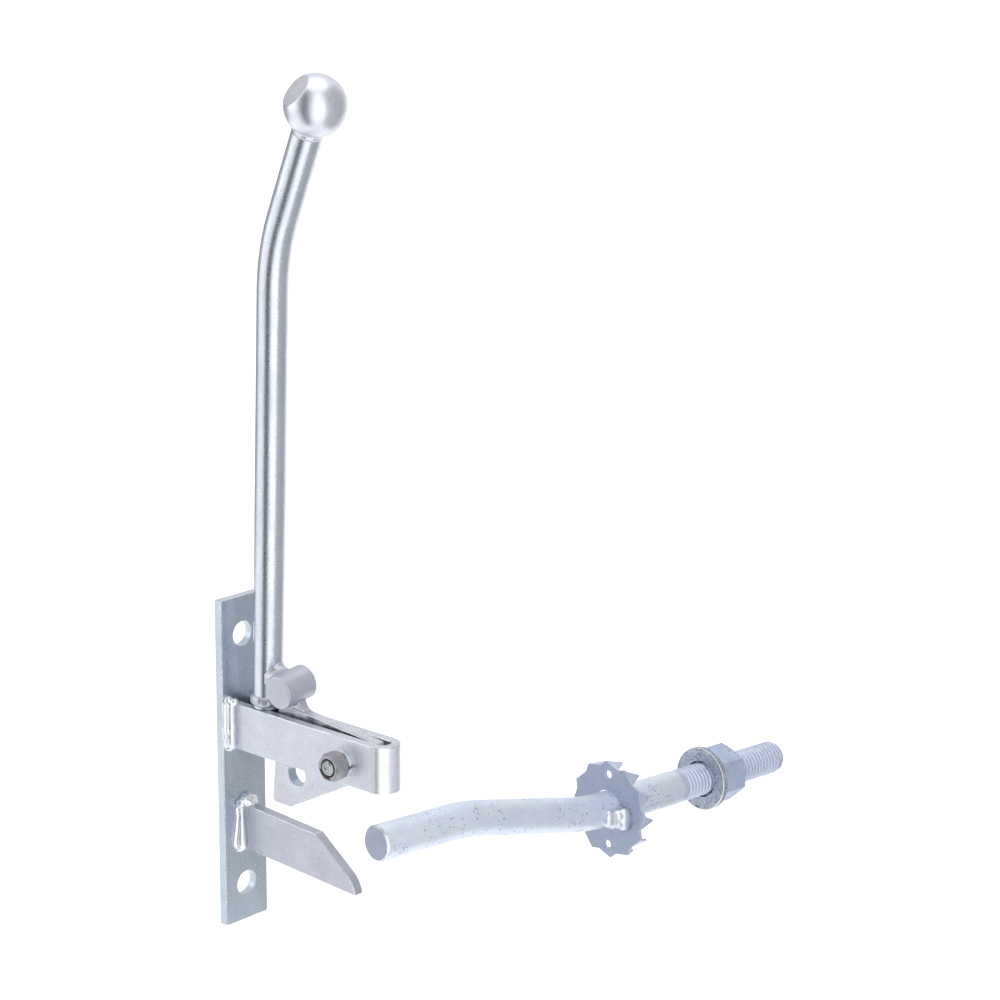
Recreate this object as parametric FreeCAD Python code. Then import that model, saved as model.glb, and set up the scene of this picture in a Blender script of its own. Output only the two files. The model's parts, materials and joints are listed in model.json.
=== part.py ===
import FreeCAD, Part
import math
import os

# A lever gate catch in zinc-coated steel, with the striker bar that it holds.
#
# The back plate is screwed to a gate post.  A folded strap and a guide arm are welded to its
# face.  A tumbler plate hangs in the strap's slot on a bolt, and a long lever with a ball
# stands on the tumbler.  A bar on the gate rides up the guide arm, lifts the tumbler and
# drops into the bay between the tumbler and the back plate.
#
# Millimetres.  The origin is the middle of the two screw holes on the rear face of the back
# plate.  X points out from the post, Y runs along the gate and Z is up.

V = FreeCAD.Vector
ALONG_X = V(1, 0, 0)
ALONG_Y = V(0, 1, 0)
ALONG_Z = V(0, 0, 1)

# Back plate, a length of flat bar
plate_width = 30.0
plate_thickness = 5.0
plate_height = 180.0
plate_corner_radius = 1.2
screw_hole_diameter = 13.0
screw_hole_end_distance = 20.5

# Strap, flat bar folded to a hairpin with its edges up
strap_depth = 25.0
strap_thickness = 5.0
strap_slot = 8.0
strap_reach = 110.0
strap_underside = 9.0
strap_edge_chamfer = 0.6

# Guide arm, flat bar with a slanted and rounded nose
guide_depth = 25.0
guide_thickness = 6.0
guide_gap = 32.3
guide_shoulder = 55.0
guide_reach = 83.6
guide_droop_angle = 3.2
guide_nose_angle = 36.0
guide_nose_radius = 16.5
guide_tip_radius = 1.5
guide_edge_chamfer = 0.5

# Pivot bolt with its nut and split washer
pivot_from_plate = 80.9
pivot_above_underside = 11.25
pivot_bolt_diameter = 8.0
pivot_hole_clearance = 0.25
pivot_running_clearance = 0.08
pivot_nut_width = 13.0
pivot_nut_height = 8.0
pivot_head_height = 5.3
pivot_washer_diameter = 15.3
pivot_washer_thickness = 2.1
pivot_washer_clearance = 0.2
pivot_washer_split = 1.6
pivot_washer_split_slant = 20.0
pivot_washer_split_angle = 90.0
pivot_bolt_projection = 0.8
pivot_bolt_chamfer = 0.7
pivot_nut_first_corner = 0.0

# Every nut and bolt head: corners turned off by a cone
nut_chamfer_angle = 30.0
nut_face_share = 0.95

# Tumbler, the plate that swings in the slot
tumbler_thickness = 6.0
tumbler_side_clearance = 0.3
tumbler_top_slope = 5.0
tumbler_top_rise = 5.4
tumbler_rear_lean = 6.0
tumbler_underside_angle = 27.6
tumbler_front_clearance = 0.4
heel_from_plate = 23.2
heel_drop = 25.7
heel_width = 13.0
heel_corner_radius = 2.5
padlock_hole_diameter = 12.5
padlock_hole_from_plate = 41.2
padlock_hole_below_underside = 6.4

# Lever, a round rod that leans and then bends outwards, with a ball
lever_diameter = 16.0
lever_from_plate = 18.3
lever_lean = 2.0
lever_straight_length = 240.0
lever_bend_angle = 20.4
lever_bend_radius = 110.0
lever_upper_length = 80.6
lever_rest_gap = 0.3
ball_diameter = 31.4
ball_socket_depth = 9.0
ball_flat_radius = 9.1
ball_flat_azimuth = -111.7
ball_flat_elevation = 37.8

# Stop bar, a short round across the top of the tumbler
stop_bar_diameter = 18.0
stop_bar_length = 20.3
stop_bar_offset = -0.15
stop_bar_gap = 1.0
stop_bar_tilt = 5.5
stop_bar_chamfer = 0.6

# Welds at the back plate: legs of the beads, and how far they run past the bars
strap_weld_leg = 5.2
strap_weld_below = 1.3
strap_weld_above = 2.6
guide_weld_leg = 5.0
guide_weld_below = 2.2
guide_top_weld_rise = 6.6
guide_top_weld_reach = 8.0
weld_crown = 0.62
long_weld_swell = (0.4, 1.0, 0.9, 1.05, 0.95, 0.35)
short_weld_swell = (0.5, 0.95, 1.0, 0.92, 0.45)

# Welds on the lever, above and below the stop bar
weld_bite = 0.1
weld_hollow = 0.3
saddle_weld_rise = 4.2
saddle_weld_end_drop = 3.0
saddle_weld_width = 14.0
saddle_weld_bar_angle = 110.0
saddle_weld_end_bar_angle = 150.0
saddle_weld_swell = (0.0, 0.75, 1.0, 0.75, 0.0)
root_weld_drop = 3.0
root_weld_inset = 0.5
foot_weld_top = 12.8
foot_weld_brim = 7.3
foot_weld_bottom = 4.8
foot_weld_leg = 2.4
foot_weld_start_azimuth = 168.0
foot_weld_sweep = 160.0
toe_weld_reach = 6.0
toe_weld_bar_angle = -38.0

# Striker bar, cranked, with a thread at its far end
striker_diameter = 18.0
striker_near_length = 58.0
striker_middle_length = 88.5
striker_first_bend_angle = 11.2
striker_second_bend_angle = 11.8
striker_bend_radius = 120.0
striker_shank_length = 65.5
striker_thread_diameter = 17.4
striker_thread_length = 81.0
striker_end_chamfer = 1.0
striker_thread_chamfer = 1.6
striker_from_plate = 153.3
striker_before_middle = 59.5
striker_above_underside = 2.1
striker_yaw = 4.5
striker_droop = 1.7

# Toothed plate on the striker, which bites into the timber of the gate
toothed_plate_thickness = 1.3
toothed_plate_from_bend = 15.8
toothed_plate_drop = 0.9
tooth_count = 12
tooth_root_inner_radius = 23.4
tooth_root_outer_radius = 25.9
tooth_root_angle = 20.0
tooth_first_angle = 76.3
tooth_height = 8.2
tooth_tip_width = 0.8
toothed_plate_hole_diameter = 20.5
nail_hole_diameter = 4.2
nail_hole_circle_diameter = 37.6
nail_hole_angle = 92.0
striker_nub_angle = -10.0
striker_nub_run = 8.5
striker_nub_rise = 4.2
striker_nub_bar_radius = 3.4
striker_nub_plate_radius = 4.4
striker_nub_waist_radius = 2.6
striker_nub_end_radius = 1.8

# Washer and nut on the striker
striker_washer_from_bend = 86.5
striker_washer_diameter = 34.0
striker_washer_thickness = 3.5
striker_washer_clearance = 1.2
striker_nut_width = 27.0
striker_nut_height = 18.0
striker_nut_first_corner = 102.0

# Slack for telling whether an edge lies in a plane
slack = 0.01

# Places worked out from the sizes above
plate_face = plate_thickness
screw_hole_spacing = plate_height - 2 * screw_hole_end_distance
strap_outer_radius = strap_slot / 2 + strap_thickness
strap_bend_x = plate_face + strap_reach - strap_outer_radius
strap_top = strap_underside + strap_depth
guide_top = strap_underside - guide_gap
pivot_x = plate_face + pivot_from_plate
pivot_z = strap_underside + pivot_above_underside
tumbler_far_y = strap_slot / 2 - tumbler_side_clearance
tumbler_near_y = tumbler_far_y - tumbler_thickness
lever_foot_x = plate_face + lever_from_plate
striker_near_x = plate_face + striker_from_plate
striker_near_z = strap_underside + striker_above_underside
striker_near_end = V(striker_near_x, -striker_before_middle, striker_near_z)


def segment(start, end):
    """Straight edge between two points."""
    return Part.LineSegment(start, end).toShape()


def arc(start, middle, end):
    """Circular edge through three points."""
    return Part.Arc(start, middle, end).toShape()


def upright(x, z, y=0.0):
    """Point of a profile that stands in the XZ plane."""
    return V(x, y, z)


def slab(edges, depth):
    """Plate made from a closed profile."""
    return Part.Face(Part.Wire(edges)).extrude(depth)


def cylinder(radius, length, base, direction):
    """Round bar from a base point."""
    return Part.makeCylinder(radius, length, base, direction)


def edges_at(shape, points):
    """Edges of a shape whose middles lie nearest to the given points."""
    found = []
    for point in points:
        found.append(min(shape.Edges, key=lambda edge: edge.CenterOfMass.distanceToPoint(point)))
    return found


def polar(radius, degrees):
    """Point on a circle in the XZ plane, from +X towards +Z."""
    angle = math.radians(degrees)
    return V(radius * math.cos(angle), 0, radius * math.sin(angle))


def hexagon_prism(width, height, first_corner, base):
    """Hexagonal prism along +Y, with a corner at the given angle."""
    corner_radius = width / math.sqrt(3)
    corners = [base + polar(corner_radius, first_corner + 60 * i) for i in range(6)]
    face = Part.Face(Part.makePolygon(corners + corners[:1]))
    return face.extrude(ALONG_Y * height)


def chamfered_nut(width, height, bore, first_corner, base):
    """Hexagon nut along +Y, its corners turned off at both faces."""
    corner_radius = width / math.sqrt(3)
    face_radius = nut_face_share * width / 2
    rise = (corner_radius - face_radius) * math.tan(math.radians(nut_chamfer_angle))
    corners = [
        V(0, 0, 0),
        V(face_radius, 0, 0),
        V(corner_radius, rise, 0),
        V(corner_radius, height - rise, 0),
        V(face_radius, height, 0),
        V(0, height, 0),
    ]
    turned = Part.Face(Part.makePolygon(corners + corners[:1])).revolve(V(0, 0, 0), ALONG_Y, 360)
    turned.translate(base)
    nut = hexagon_prism(width, height, first_corner, base).common(turned)
    return nut.cut(cylinder(bore / 2, height, base, ALONG_Y))


def rim_edges(shape):
    """The full circles of a turned piece."""
    return [edge for edge in shape.Edges if edge.isClosed() and len(edge.Vertexes) == 1]


def circle_hit(point, direction, centre, radius):
    """Where a line leaves a circle, both in the XZ plane."""
    along = (centre - point).dot(direction)
    foot = point + direction * along
    half_chord = math.sqrt(radius ** 2 - (centre - foot).Length ** 2)
    return foot + direction * half_chord


def make_back_plate():
    """Flat bar with two screw holes."""
    corner = V(0, -plate_width / 2, -plate_height / 2)
    plate = Part.makeBox(plate_thickness, plate_width, plate_height, corner)
    corners = []
    for side in (-1, 1):
        for end in (-1, 1):
            corners.append(V(plate_thickness / 2, side * plate_width / 2, end * plate_height / 2))
    plate = plate.makeFillet(plate_corner_radius, edges_at(plate, corners))
    for end in (-1, 1):
        centre = V(0, 0, end * screw_hole_spacing / 2)
        plate = plate.cut(cylinder(screw_hole_diameter / 2, plate_thickness, centre, ALONG_X))
    return plate


def make_pivot_strap():
    """Hairpin of flat bar, drilled through both legs for the pivot bolt."""
    outer = strap_outer_radius
    inner = strap_slot / 2
    edges = [
        segment(V(plate_face, -outer, 0), V(strap_bend_x, -outer, 0)),
        arc(V(strap_bend_x, -outer, 0), V(strap_bend_x + outer, 0, 0), V(strap_bend_x, outer, 0)),
        segment(V(strap_bend_x, outer, 0), V(plate_face, outer, 0)),
        segment(V(plate_face, outer, 0), V(plate_face, inner, 0)),
        segment(V(plate_face, inner, 0), V(strap_bend_x, inner, 0)),
        arc(V(strap_bend_x, inner, 0), V(strap_bend_x + inner, 0, 0), V(strap_bend_x, -inner, 0)),
        segment(V(strap_bend_x, -inner, 0), V(plate_face, -inner, 0)),
        segment(V(plate_face, -inner, 0), V(plate_face, -outer, 0)),
    ]
    strap = slab(edges, ALONG_Z * strap_depth)
    strap.translate(ALONG_Z * strap_underside)
    rims = [edge for edge in strap.Edges if runs_round_outside(edge)]
    strap = strap.makeChamfer(strap_edge_chamfer, rims)
    hole_radius = pivot_bolt_diameter / 2 + pivot_hole_clearance
    return strap.cut(cylinder(hole_radius, 2 * outer, V(pivot_x, -outer, pivot_z), ALONG_Y))


def runs_round_outside(edge):
    """True for the long outer edges of the strap, top and bottom."""
    box = edge.BoundBox
    outside = max(abs(box.YMin), abs(box.YMax)) > strap_outer_radius - slack
    return outside and box.ZLength < slack and box.XLength > strap_thickness


def guide_edge_z(top, x):
    """Height of a drooping edge of the guide arm at a distance from the post."""
    return top - (x - plate_face) * math.tan(math.radians(guide_droop_angle))


def make_guide_arm():
    """Flat bar that droops a little, with a slanted nose rounded at its tip."""
    bottom = guide_top - guide_depth
    shoulder_x = plate_face + guide_shoulder
    tip_x = plate_face + guide_reach
    shoulder = upright(shoulder_x, guide_edge_z(guide_top, shoulder_x))
    tip = upright(tip_x, guide_edge_z(bottom, tip_x))
    slope = math.radians(guide_nose_angle)
    down_slant = V(math.cos(slope), 0, -math.sin(slope))
    inwards = V(-math.sin(slope), 0, -math.cos(slope))
    span = tip - shoulder
    sideways = span.dot(inwards) - guide_nose_radius
    slant_length = span.dot(down_slant) - math.sqrt(guide_nose_radius ** 2 - sideways ** 2)
    slant_end = shoulder + down_slant * slant_length
    nose_centre = slant_end + inwards * guide_nose_radius
    nose_middle = (slant_end + tip) * 0.5 - nose_centre
    nose_middle = nose_centre + nose_middle.normalize() * guide_nose_radius
    edges = [
        segment(upright(plate_face, guide_top), shoulder),
        segment(shoulder, slant_end),
        arc(slant_end, nose_middle, tip),
        segment(tip, upright(plate_face, bottom)),
        segment(upright(plate_face, bottom), upright(plate_face, guide_top)),
    ]
    arm = slab(edges, ALONG_Y * guide_thickness)
    arm.translate(ALONG_Y * (-guide_thickness / 2))
    arm = arm.makeFillet(guide_tip_radius, edges_at(arm, [tip]))
    rims = [edge for edge in arm.Edges if edge.BoundBox.YLength < slack and edge.BoundBox.XLength > slack]
    return arm.makeChamfer(guide_edge_chamfer, rims)


def tumbler_top_z(x):
    """Height of the tumbler's sloping top edge."""
    rise = strap_top + tumbler_top_rise
    return rise - (x - plate_face - heel_from_plate) * math.tan(math.radians(tumbler_top_slope))


def make_tumbler():
    """Plate with a heel at the rear, a sloped underside and a round front about its pivot."""
    pivot = upright(pivot_x, pivot_z)
    bend_inner_x = strap_bend_x + math.sqrt((strap_slot / 2) ** 2 - tumbler_far_y ** 2)
    front_radius = bend_inner_x - tumbler_front_clearance - pivot_x
    heel_x = plate_face + heel_from_plate
    heel_z = strap_underside - heel_drop
    lean = math.tan(math.radians(tumbler_rear_lean))
    slope = math.tan(math.radians(tumbler_top_slope))
    rise = tumbler_top_z(heel_x) - heel_z
    rear_height = rise / (1 + lean * slope)
    rear_top = upright(heel_x + rear_height * lean, heel_z + rear_height)
    heel_rear = upright(heel_x, heel_z)
    heel_front = upright(heel_x + heel_width, heel_z)
    along_top = V(1, 0, -slope).normalize()
    underside = math.radians(tumbler_underside_angle)
    along_underside = V(math.cos(underside), 0, math.sin(underside))
    front_top = circle_hit(rear_top, along_top, pivot, front_radius)
    front_low = circle_hit(heel_front, along_underside, pivot, front_radius)
    edges = [
        segment(heel_rear, rear_top),
        segment(rear_top, front_top),
        arc(front_top, pivot + ALONG_X * front_radius, front_low),
        segment(front_low, heel_front),
        segment(heel_front, heel_rear),
    ]
    plate = slab(edges, ALONG_Y * tumbler_thickness)
    half = ALONG_Y * (tumbler_thickness / 2)
    plate = plate.makeFillet(heel_corner_radius, edges_at(plate, [heel_rear + half, heel_front + half]))
    plate.translate(ALONG_Y * tumbler_near_y)
    bore_radius = pivot_bolt_diameter / 2 + pivot_running_clearance
    plate = plate.cut(cylinder(bore_radius, tumbler_thickness, pivot + ALONG_Y * tumbler_near_y, ALONG_Y))
    padlock_x = plate_face + padlock_hole_from_plate
    padlock_z = strap_underside - padlock_hole_below_underside
    padlock_base = upright(padlock_x, padlock_z, tumbler_near_y)
    return plate.cut(cylinder(padlock_hole_diameter / 2, tumbler_thickness, padlock_base, ALONG_Y))


def lever_axis_direction(degrees):
    """Unit vector that leans from upright towards +X."""
    angle = math.radians(degrees)
    return V(math.sin(angle), 0, math.cos(angle))


def bent_path(start, legs, radius):
    """Wire of straight legs, each a direction and a length, joined by tangent arcs."""
    corners = [start]
    for direction, length in legs:
        corners.append(corners[-1] + direction * length)
    edges = []
    here = start
    for i in range(1, len(corners) - 1):
        into = legs[i - 1][0]
        out = legs[i][0]
        half_turn = into.getAngle(out) / 2
        cut_back = radius * math.tan(half_turn)
        arc_start = corners[i] - into * cut_back
        arc_end = corners[i] + out * cut_back
        towards_centre = (out - into).normalize()
        arc_middle = corners[i] + towards_centre * (radius / math.cos(half_turn) - radius)
        edges.append(segment(here, arc_start))
        edges.append(arc(arc_start, arc_middle, arc_end))
        here = arc_end
    edges.append(segment(here, corners[-1]))
    return Part.Wire(edges)


def swept_bar(path, radius, start, direction):
    """Round bar swept along a path."""
    circle = Part.Wire(Part.Circle(start, direction, radius).toShape())
    return path.makePipeShell([circle], True, False)


lower_axis = lever_axis_direction(lever_lean)
upper_axis = lever_axis_direction(lever_lean + lever_bend_angle)
lever_foot = upright(lever_foot_x, strap_top)
ball_centre = lever_foot + lower_axis * lever_straight_length + upper_axis * lever_upper_length
rod_into_ball = ball_diameter / 2 - ball_socket_depth


def make_lever_rod():
    """Round rod with one bend, its foot cut level just above the strap."""
    start = lever_foot - lower_axis * lever_diameter
    legs = [
        (lower_axis, lever_straight_length + lever_diameter),
        (upper_axis, lever_upper_length - rod_into_ball),
    ]
    rod = swept_bar(bent_path(start, legs, lever_bend_radius), lever_diameter / 2, start, lower_axis)
    side = 2 * lever_diameter
    below = V(lever_foot_x - side, -side, strap_top + lever_rest_gap - 2 * side)
    return rod.cut(Part.makeBox(2 * side, 2 * side, 2 * side, below))


def make_lever_ball():
    """Ball with one flat, bored to take the rod."""
    radius = ball_diameter / 2
    ball = Part.makeSphere(radius, ball_centre)
    azimuth = math.radians(ball_flat_azimuth)
    elevation = math.radians(ball_flat_elevation)
    level = V(math.cos(azimuth), math.sin(azimuth), 0)
    outward = level * math.cos(elevation) + ALONG_Z * math.sin(elevation)
    flat_distance = math.sqrt(radius ** 2 - ball_flat_radius ** 2)
    beyond = cylinder(radius, radius, ball_centre + outward * flat_distance, outward)
    socket_base = ball_centre - upper_axis * (rod_into_ball + radius)
    socket = cylinder(lever_diameter / 2, radius, socket_base, upper_axis)
    return ball.cut(beyond).cut(socket)


def stop_bar_centre():
    """Middle of the stop bar in XZ: it touches the rod, a weld gap above the tumbler's top edge."""
    lean = math.radians(lever_lean)
    slope = math.radians(tumbler_top_slope)
    reach = (lever_diameter + stop_bar_diameter) / 2
    lift = tumbler_top_z(0) + (stop_bar_diameter / 2 + stop_bar_gap) / math.cos(slope)
    right = reach + lever_foot_x * math.cos(lean) + (lift - strap_top) * math.sin(lean)
    x = right / (math.cos(lean) + math.tan(slope) * math.sin(lean))
    return upright(x, lift - x * math.tan(slope))


def make_stop_bar():
    """Short round bar across the tumbler, welded a little askew of the pivot."""
    centre = stop_bar_centre()
    base = centre + ALONG_Y * (stop_bar_offset - stop_bar_length / 2)
    bar = cylinder(stop_bar_diameter / 2, stop_bar_length, base, ALONG_Y)
    bar = bar.makeChamfer(stop_bar_chamfer, rim_edges(bar))
    bar.rotate(centre, ALONG_X, stop_bar_tilt)
    return bar


def hollow_point(a, b, corner):
    """Middle of a hollow arc from a to b, drawn in towards a corner."""
    return corner + (a - corner) * weld_hollow + (b - corner) * weld_hollow


def saddle_section(y, share):
    """Outline of the saddle weld at one place along the stop bar, from its end shape to its middle shape."""
    centre = stop_bar_centre() + ALONG_Y * y
    rod_low = centre - ALONG_X * ((stop_bar_diameter + lever_diameter) / 2)
    rise = stop_bar_diameter / 2 + saddle_weld_rise * share - saddle_weld_end_drop * (1 - share)
    rod_high = rod_low + ALONG_Z * rise
    on_rod = rod_high + ALONG_X * (math.sqrt((lever_diameter / 2) ** 2 - y ** 2) - weld_bite)
    bar_angle = saddle_weld_bar_angle * share + saddle_weld_end_bar_angle * (1 - share)
    on_bar = centre + polar(stop_bar_diameter / 2 - weld_bite, bar_angle)
    hollow = hollow_point(on_rod, on_bar, V(on_rod.x, y, min(on_rod.z, on_bar.z)))
    return Part.Wire([
        segment(rod_low, rod_high),
        segment(rod_high, on_rod),
        arc(on_rod, hollow, on_bar),
        segment(on_bar, centre),
        segment(centre, rod_low),
    ])


def make_saddle_weld():
    """Hollow weld above the stop bar, between it and the rod, running down at both ends."""
    sections = []
    for i, share in enumerate(saddle_weld_swell):
        y = saddle_weld_width * (i / (len(saddle_weld_swell) - 1) - 0.5)
        sections.append(saddle_section(y, share))
    weld = Part.makeLoft(sections, True, False)
    return weld.cut(make_lever_rod()).cut(make_stop_bar())


def make_root_weld():
    """Filling below the stop bar, between the rod and the tumbler's rear edge."""
    centre = stop_bar_centre()
    rod_x = centre.x - (stop_bar_diameter + lever_diameter) / 2
    length = centre.x - rod_x
    width = tumbler_thickness - 2 * root_weld_inset
    bottom = tumbler_top_z(rod_x) - root_weld_drop
    corner = V(rod_x, tumbler_near_y + root_weld_inset, bottom)
    weld = Part.makeBox(length, width, centre.z - bottom, corner)
    return weld.cut(make_lever_rod()).cut(make_stop_bar()).cut(make_tumbler())


def make_foot_weld():
    """Collar of weld round the near side of the rod's foot, drawn about the rod's axis."""
    inner = lever_diameter / 2 - weld_bite
    brim = lever_diameter / 2 + foot_weld_leg
    top = V(inner, 0, foot_weld_top)
    edge = V(brim, 0, foot_weld_brim)
    outline = Part.Wire([
        segment(V(inner, 0, foot_weld_bottom), top),
        arc(top, hollow_point(top, edge, V(inner, 0, foot_weld_brim)), edge),
        segment(edge, V(brim, 0, foot_weld_bottom)),
        segment(V(brim, 0, foot_weld_bottom), V(inner, 0, foot_weld_bottom)),
    ])
    collar = Part.Face(outline).revolve(V(0, 0, 0), ALONG_Z, foot_weld_sweep)
    collar.rotate(V(0, 0, 0), ALONG_Z, foot_weld_start_azimuth)
    collar.rotate(V(0, 0, 0), ALONG_Y, lever_lean)
    collar.translate(lever_foot)
    for neighbour in (make_lever_rod(), make_stop_bar(), make_saddle_weld(), make_tumbler()):
        collar = collar.cut(neighbour)
    return collar


def make_toe_weld():
    """Hollow fillet between the stop bar and the tumbler's top edge."""
    centre = stop_bar_centre()
    on_bar = centre + polar(stop_bar_diameter / 2 - weld_bite, toe_weld_bar_angle)
    toe_x = on_bar.x + toe_weld_reach
    toe = upright(toe_x, tumbler_top_z(toe_x))
    root = upright(centre.x, tumbler_top_z(centre.x))
    weld = slab([
        segment(root, centre),
        segment(centre, on_bar),
        arc(on_bar, hollow_point(on_bar, toe, upright(on_bar.x, toe.z)), toe),
        segment(toe, root),
    ], ALONG_Y * tumbler_thickness)
    weld.translate(ALONG_Y * tumbler_near_y)
    return weld.cut(make_stop_bar()).cut(make_tumbler())


def weld_section(corner, along_a, along_b, leg_a, leg_b):
    """Outline of a weld lying in the corner between two faces."""
    a = corner + along_a * leg_a
    b = corner + along_b * leg_b
    crown = corner + along_a * (weld_crown * leg_a) + along_b * (weld_crown * leg_b)
    return Part.Wire([segment(corner, a), arc(a, crown, b), segment(b, corner)])


def long_weld(start, run, length, along_a, along_b, leg):
    """Weld in a corner, swelling and thinning along its run."""
    sections = []
    for i, share in enumerate(long_weld_swell):
        place = start + run * (length * i / (len(long_weld_swell) - 1))
        steadier = (1 + share) / 2
        sections.append(weld_section(place, along_a, along_b, leg * share, leg * steadier))
    return Part.makeLoft(sections, True, True)


def make_strap_weld(side):
    """Weld down the outer face of one strap leg, at the back plate."""
    start = V(plate_face, side * strap_outer_radius, strap_underside - strap_weld_below)
    length = strap_weld_below + strap_depth + strap_weld_above
    return long_weld(start, ALONG_Z, length, ALONG_Y * side, ALONG_X, strap_weld_leg)


def make_guide_weld(side):
    """Weld down one face of the guide arm, at the back plate."""
    start = V(plate_face, side * guide_thickness / 2, guide_top - guide_depth - guide_weld_below)
    length = guide_depth + guide_weld_below
    return long_weld(start, ALONG_Z, length, ALONG_Y * side, ALONG_X, guide_weld_leg)


def make_guide_top_weld():
    """Lump of weld across the top edge of the guide arm."""
    width = guide_thickness + guide_weld_leg
    sections = []
    for i, share in enumerate(short_weld_swell):
        place = V(plate_face, width * (i / (len(short_weld_swell) - 1) - 0.5), guide_top)
        rise = guide_top_weld_rise * share
        reach = guide_top_weld_reach * share
        sections.append(weld_section(place, ALONG_Z, ALONG_X, rise, reach))
    return Part.makeLoft(sections, True, True).cut(make_guide_arm())


def make_pivot_bolt():
    """Hexagon-head bolt through both legs, its head on the far side."""
    head_base = V(pivot_x, strap_outer_radius, pivot_z)
    head = chamfered_nut(
        pivot_nut_width, pivot_head_height, pivot_bolt_diameter, pivot_nut_first_corner, head_base)
    grip = 2 * strap_outer_radius + pivot_washer_thickness + pivot_nut_height + pivot_bolt_projection
    shank_start = head_base + ALONG_Y * pivot_head_height
    shank = cylinder(pivot_bolt_diameter / 2, grip + pivot_head_height, shank_start, -ALONG_Y)
    tip = shank_start - ALONG_Y * (grip + pivot_head_height)
    shank = shank.makeChamfer(pivot_bolt_chamfer, edges_at(shank, [tip]))
    return head.fuse(shank).removeSplitter()


def make_pivot_spring_washer():
    """Split ring between the strap and the nut."""
    base = V(pivot_x, -strap_outer_radius - pivot_washer_thickness, pivot_z)
    ring = cylinder(pivot_washer_diameter / 2, pivot_washer_thickness, base, ALONG_Y)
    inner = pivot_bolt_diameter / 2 + pivot_washer_clearance
    ring = ring.cut(cylinder(inner, pivot_washer_thickness, base, ALONG_Y))
    split = Part.makeBox(pivot_washer_split, 3 * pivot_washer_thickness, pivot_washer_diameter)
    split.translate(base + V(-pivot_washer_split / 2, -pivot_washer_thickness, 0))
    split.rotate(base + ALONG_Y * (pivot_washer_thickness / 2), ALONG_Z, pivot_washer_split_slant)
    split.rotate(base, ALONG_Y, pivot_washer_split_angle)
    return ring.cut(split)


def make_pivot_nut():
    """Nut at the near end of the pivot bolt."""
    base_y = -strap_outer_radius - pivot_washer_thickness - pivot_nut_height
    base = V(pivot_x, base_y, pivot_z)
    return chamfered_nut(
        pivot_nut_width, pivot_nut_height, pivot_bolt_diameter, pivot_nut_first_corner, base)


def striker_direction(fall):
    """Direction in the striker's own layout that falls away from its shank by an angle."""
    angle = math.radians(fall)
    return V(0, math.cos(angle), -math.sin(angle))


# The striker is laid out from its near end with its shank along +Y, and then set in its place.
striker_near_direction = striker_direction(striker_second_bend_angle - striker_first_bend_angle)
striker_middle_direction = striker_direction(striker_second_bend_angle)
first_bend = striker_near_direction * striker_near_length
second_bend = first_bend + striker_middle_direction * striker_middle_length
striker_shank_end = second_bend + ALONG_Y * striker_shank_length


def set_in_place(shape):
    """Move a piece from the striker's own layout to where the bar stands."""
    shape.rotate(V(0, 0, 0), ALONG_X, -striker_droop)
    shape.rotate(V(0, 0, 0), ALONG_Z, -striker_yaw)
    shape.translate(striker_near_end)
    return shape


def striker_bar_layout():
    """Cranked bar with its thread turned a little smaller than the shank."""
    legs = [
        (striker_near_direction, striker_near_length),
        (striker_middle_direction, striker_middle_length),
        (ALONG_Y, striker_shank_length),
    ]
    start = V(0, 0, 0)
    radius = striker_diameter / 2
    path = bent_path(start, legs, striker_bend_radius)
    bar = swept_bar(path, radius, start, striker_near_direction)
    bar = bar.makeChamfer(striker_end_chamfer, edges_at(bar, [start]))
    thread = cylinder(striker_thread_diameter / 2, striker_thread_length, striker_shank_end, ALONG_Y)
    thread_end = striker_shank_end + ALONG_Y * striker_thread_length
    thread = thread.makeChamfer(striker_thread_chamfer, edges_at(thread, [thread_end]))
    return bar.fuse(thread)


def tooth(index):
    """One tooth, bent square to the plate along its slanting root."""
    start_angle = tooth_first_angle + index * 360 / tooth_count
    a = polar(tooth_root_inner_radius, start_angle)
    b = polar(tooth_root_outer_radius, start_angle + tooth_root_angle)
    along_root = (b - a).normalize()
    inwards = V(along_root.z, 0, -along_root.x)
    if inwards.dot(a) > 0:
        inwards = -inwards
    tip = (a + b) * 0.5 + ALONG_Y * tooth_height
    half_tip = along_root * (tooth_tip_width / 2)
    outline = Part.Face(Part.makePolygon([a, b, tip + half_tip, tip - half_tip, a]))
    return outline.extrude(inwards * toothed_plate_thickness)


def toothed_plate_layout():
    """Thin disc with a ring of teeth, a wide bore and two nail holes."""
    rim = []
    for i in range(tooth_count):
        start_angle = tooth_first_angle + i * 360 / tooth_count
        rim.append(polar(tooth_root_inner_radius, start_angle))
        rim.append(polar(tooth_root_outer_radius, start_angle + tooth_root_angle))
    disc = Part.Face(Part.makePolygon(rim + rim[:1])).extrude(ALONG_Y * toothed_plate_thickness)
    plate = disc.multiFuse([tooth(i) for i in range(tooth_count)]).removeSplitter()
    holes = [cylinder(toothed_plate_hole_diameter / 2, toothed_plate_thickness, V(0, 0, 0), ALONG_Y)]
    for angle in (nail_hole_angle, nail_hole_angle + 180):
        centre = polar(nail_hole_circle_diameter / 2, angle)
        holes.append(cylinder(nail_hole_diameter / 2, toothed_plate_thickness, centre, ALONG_Y))
    for hole in holes:
        plate = plate.cut(hole)
    plate.translate(second_bend + ALONG_Y * toothed_plate_from_bend - ALONG_Z * toothed_plate_drop)
    return plate


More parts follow.
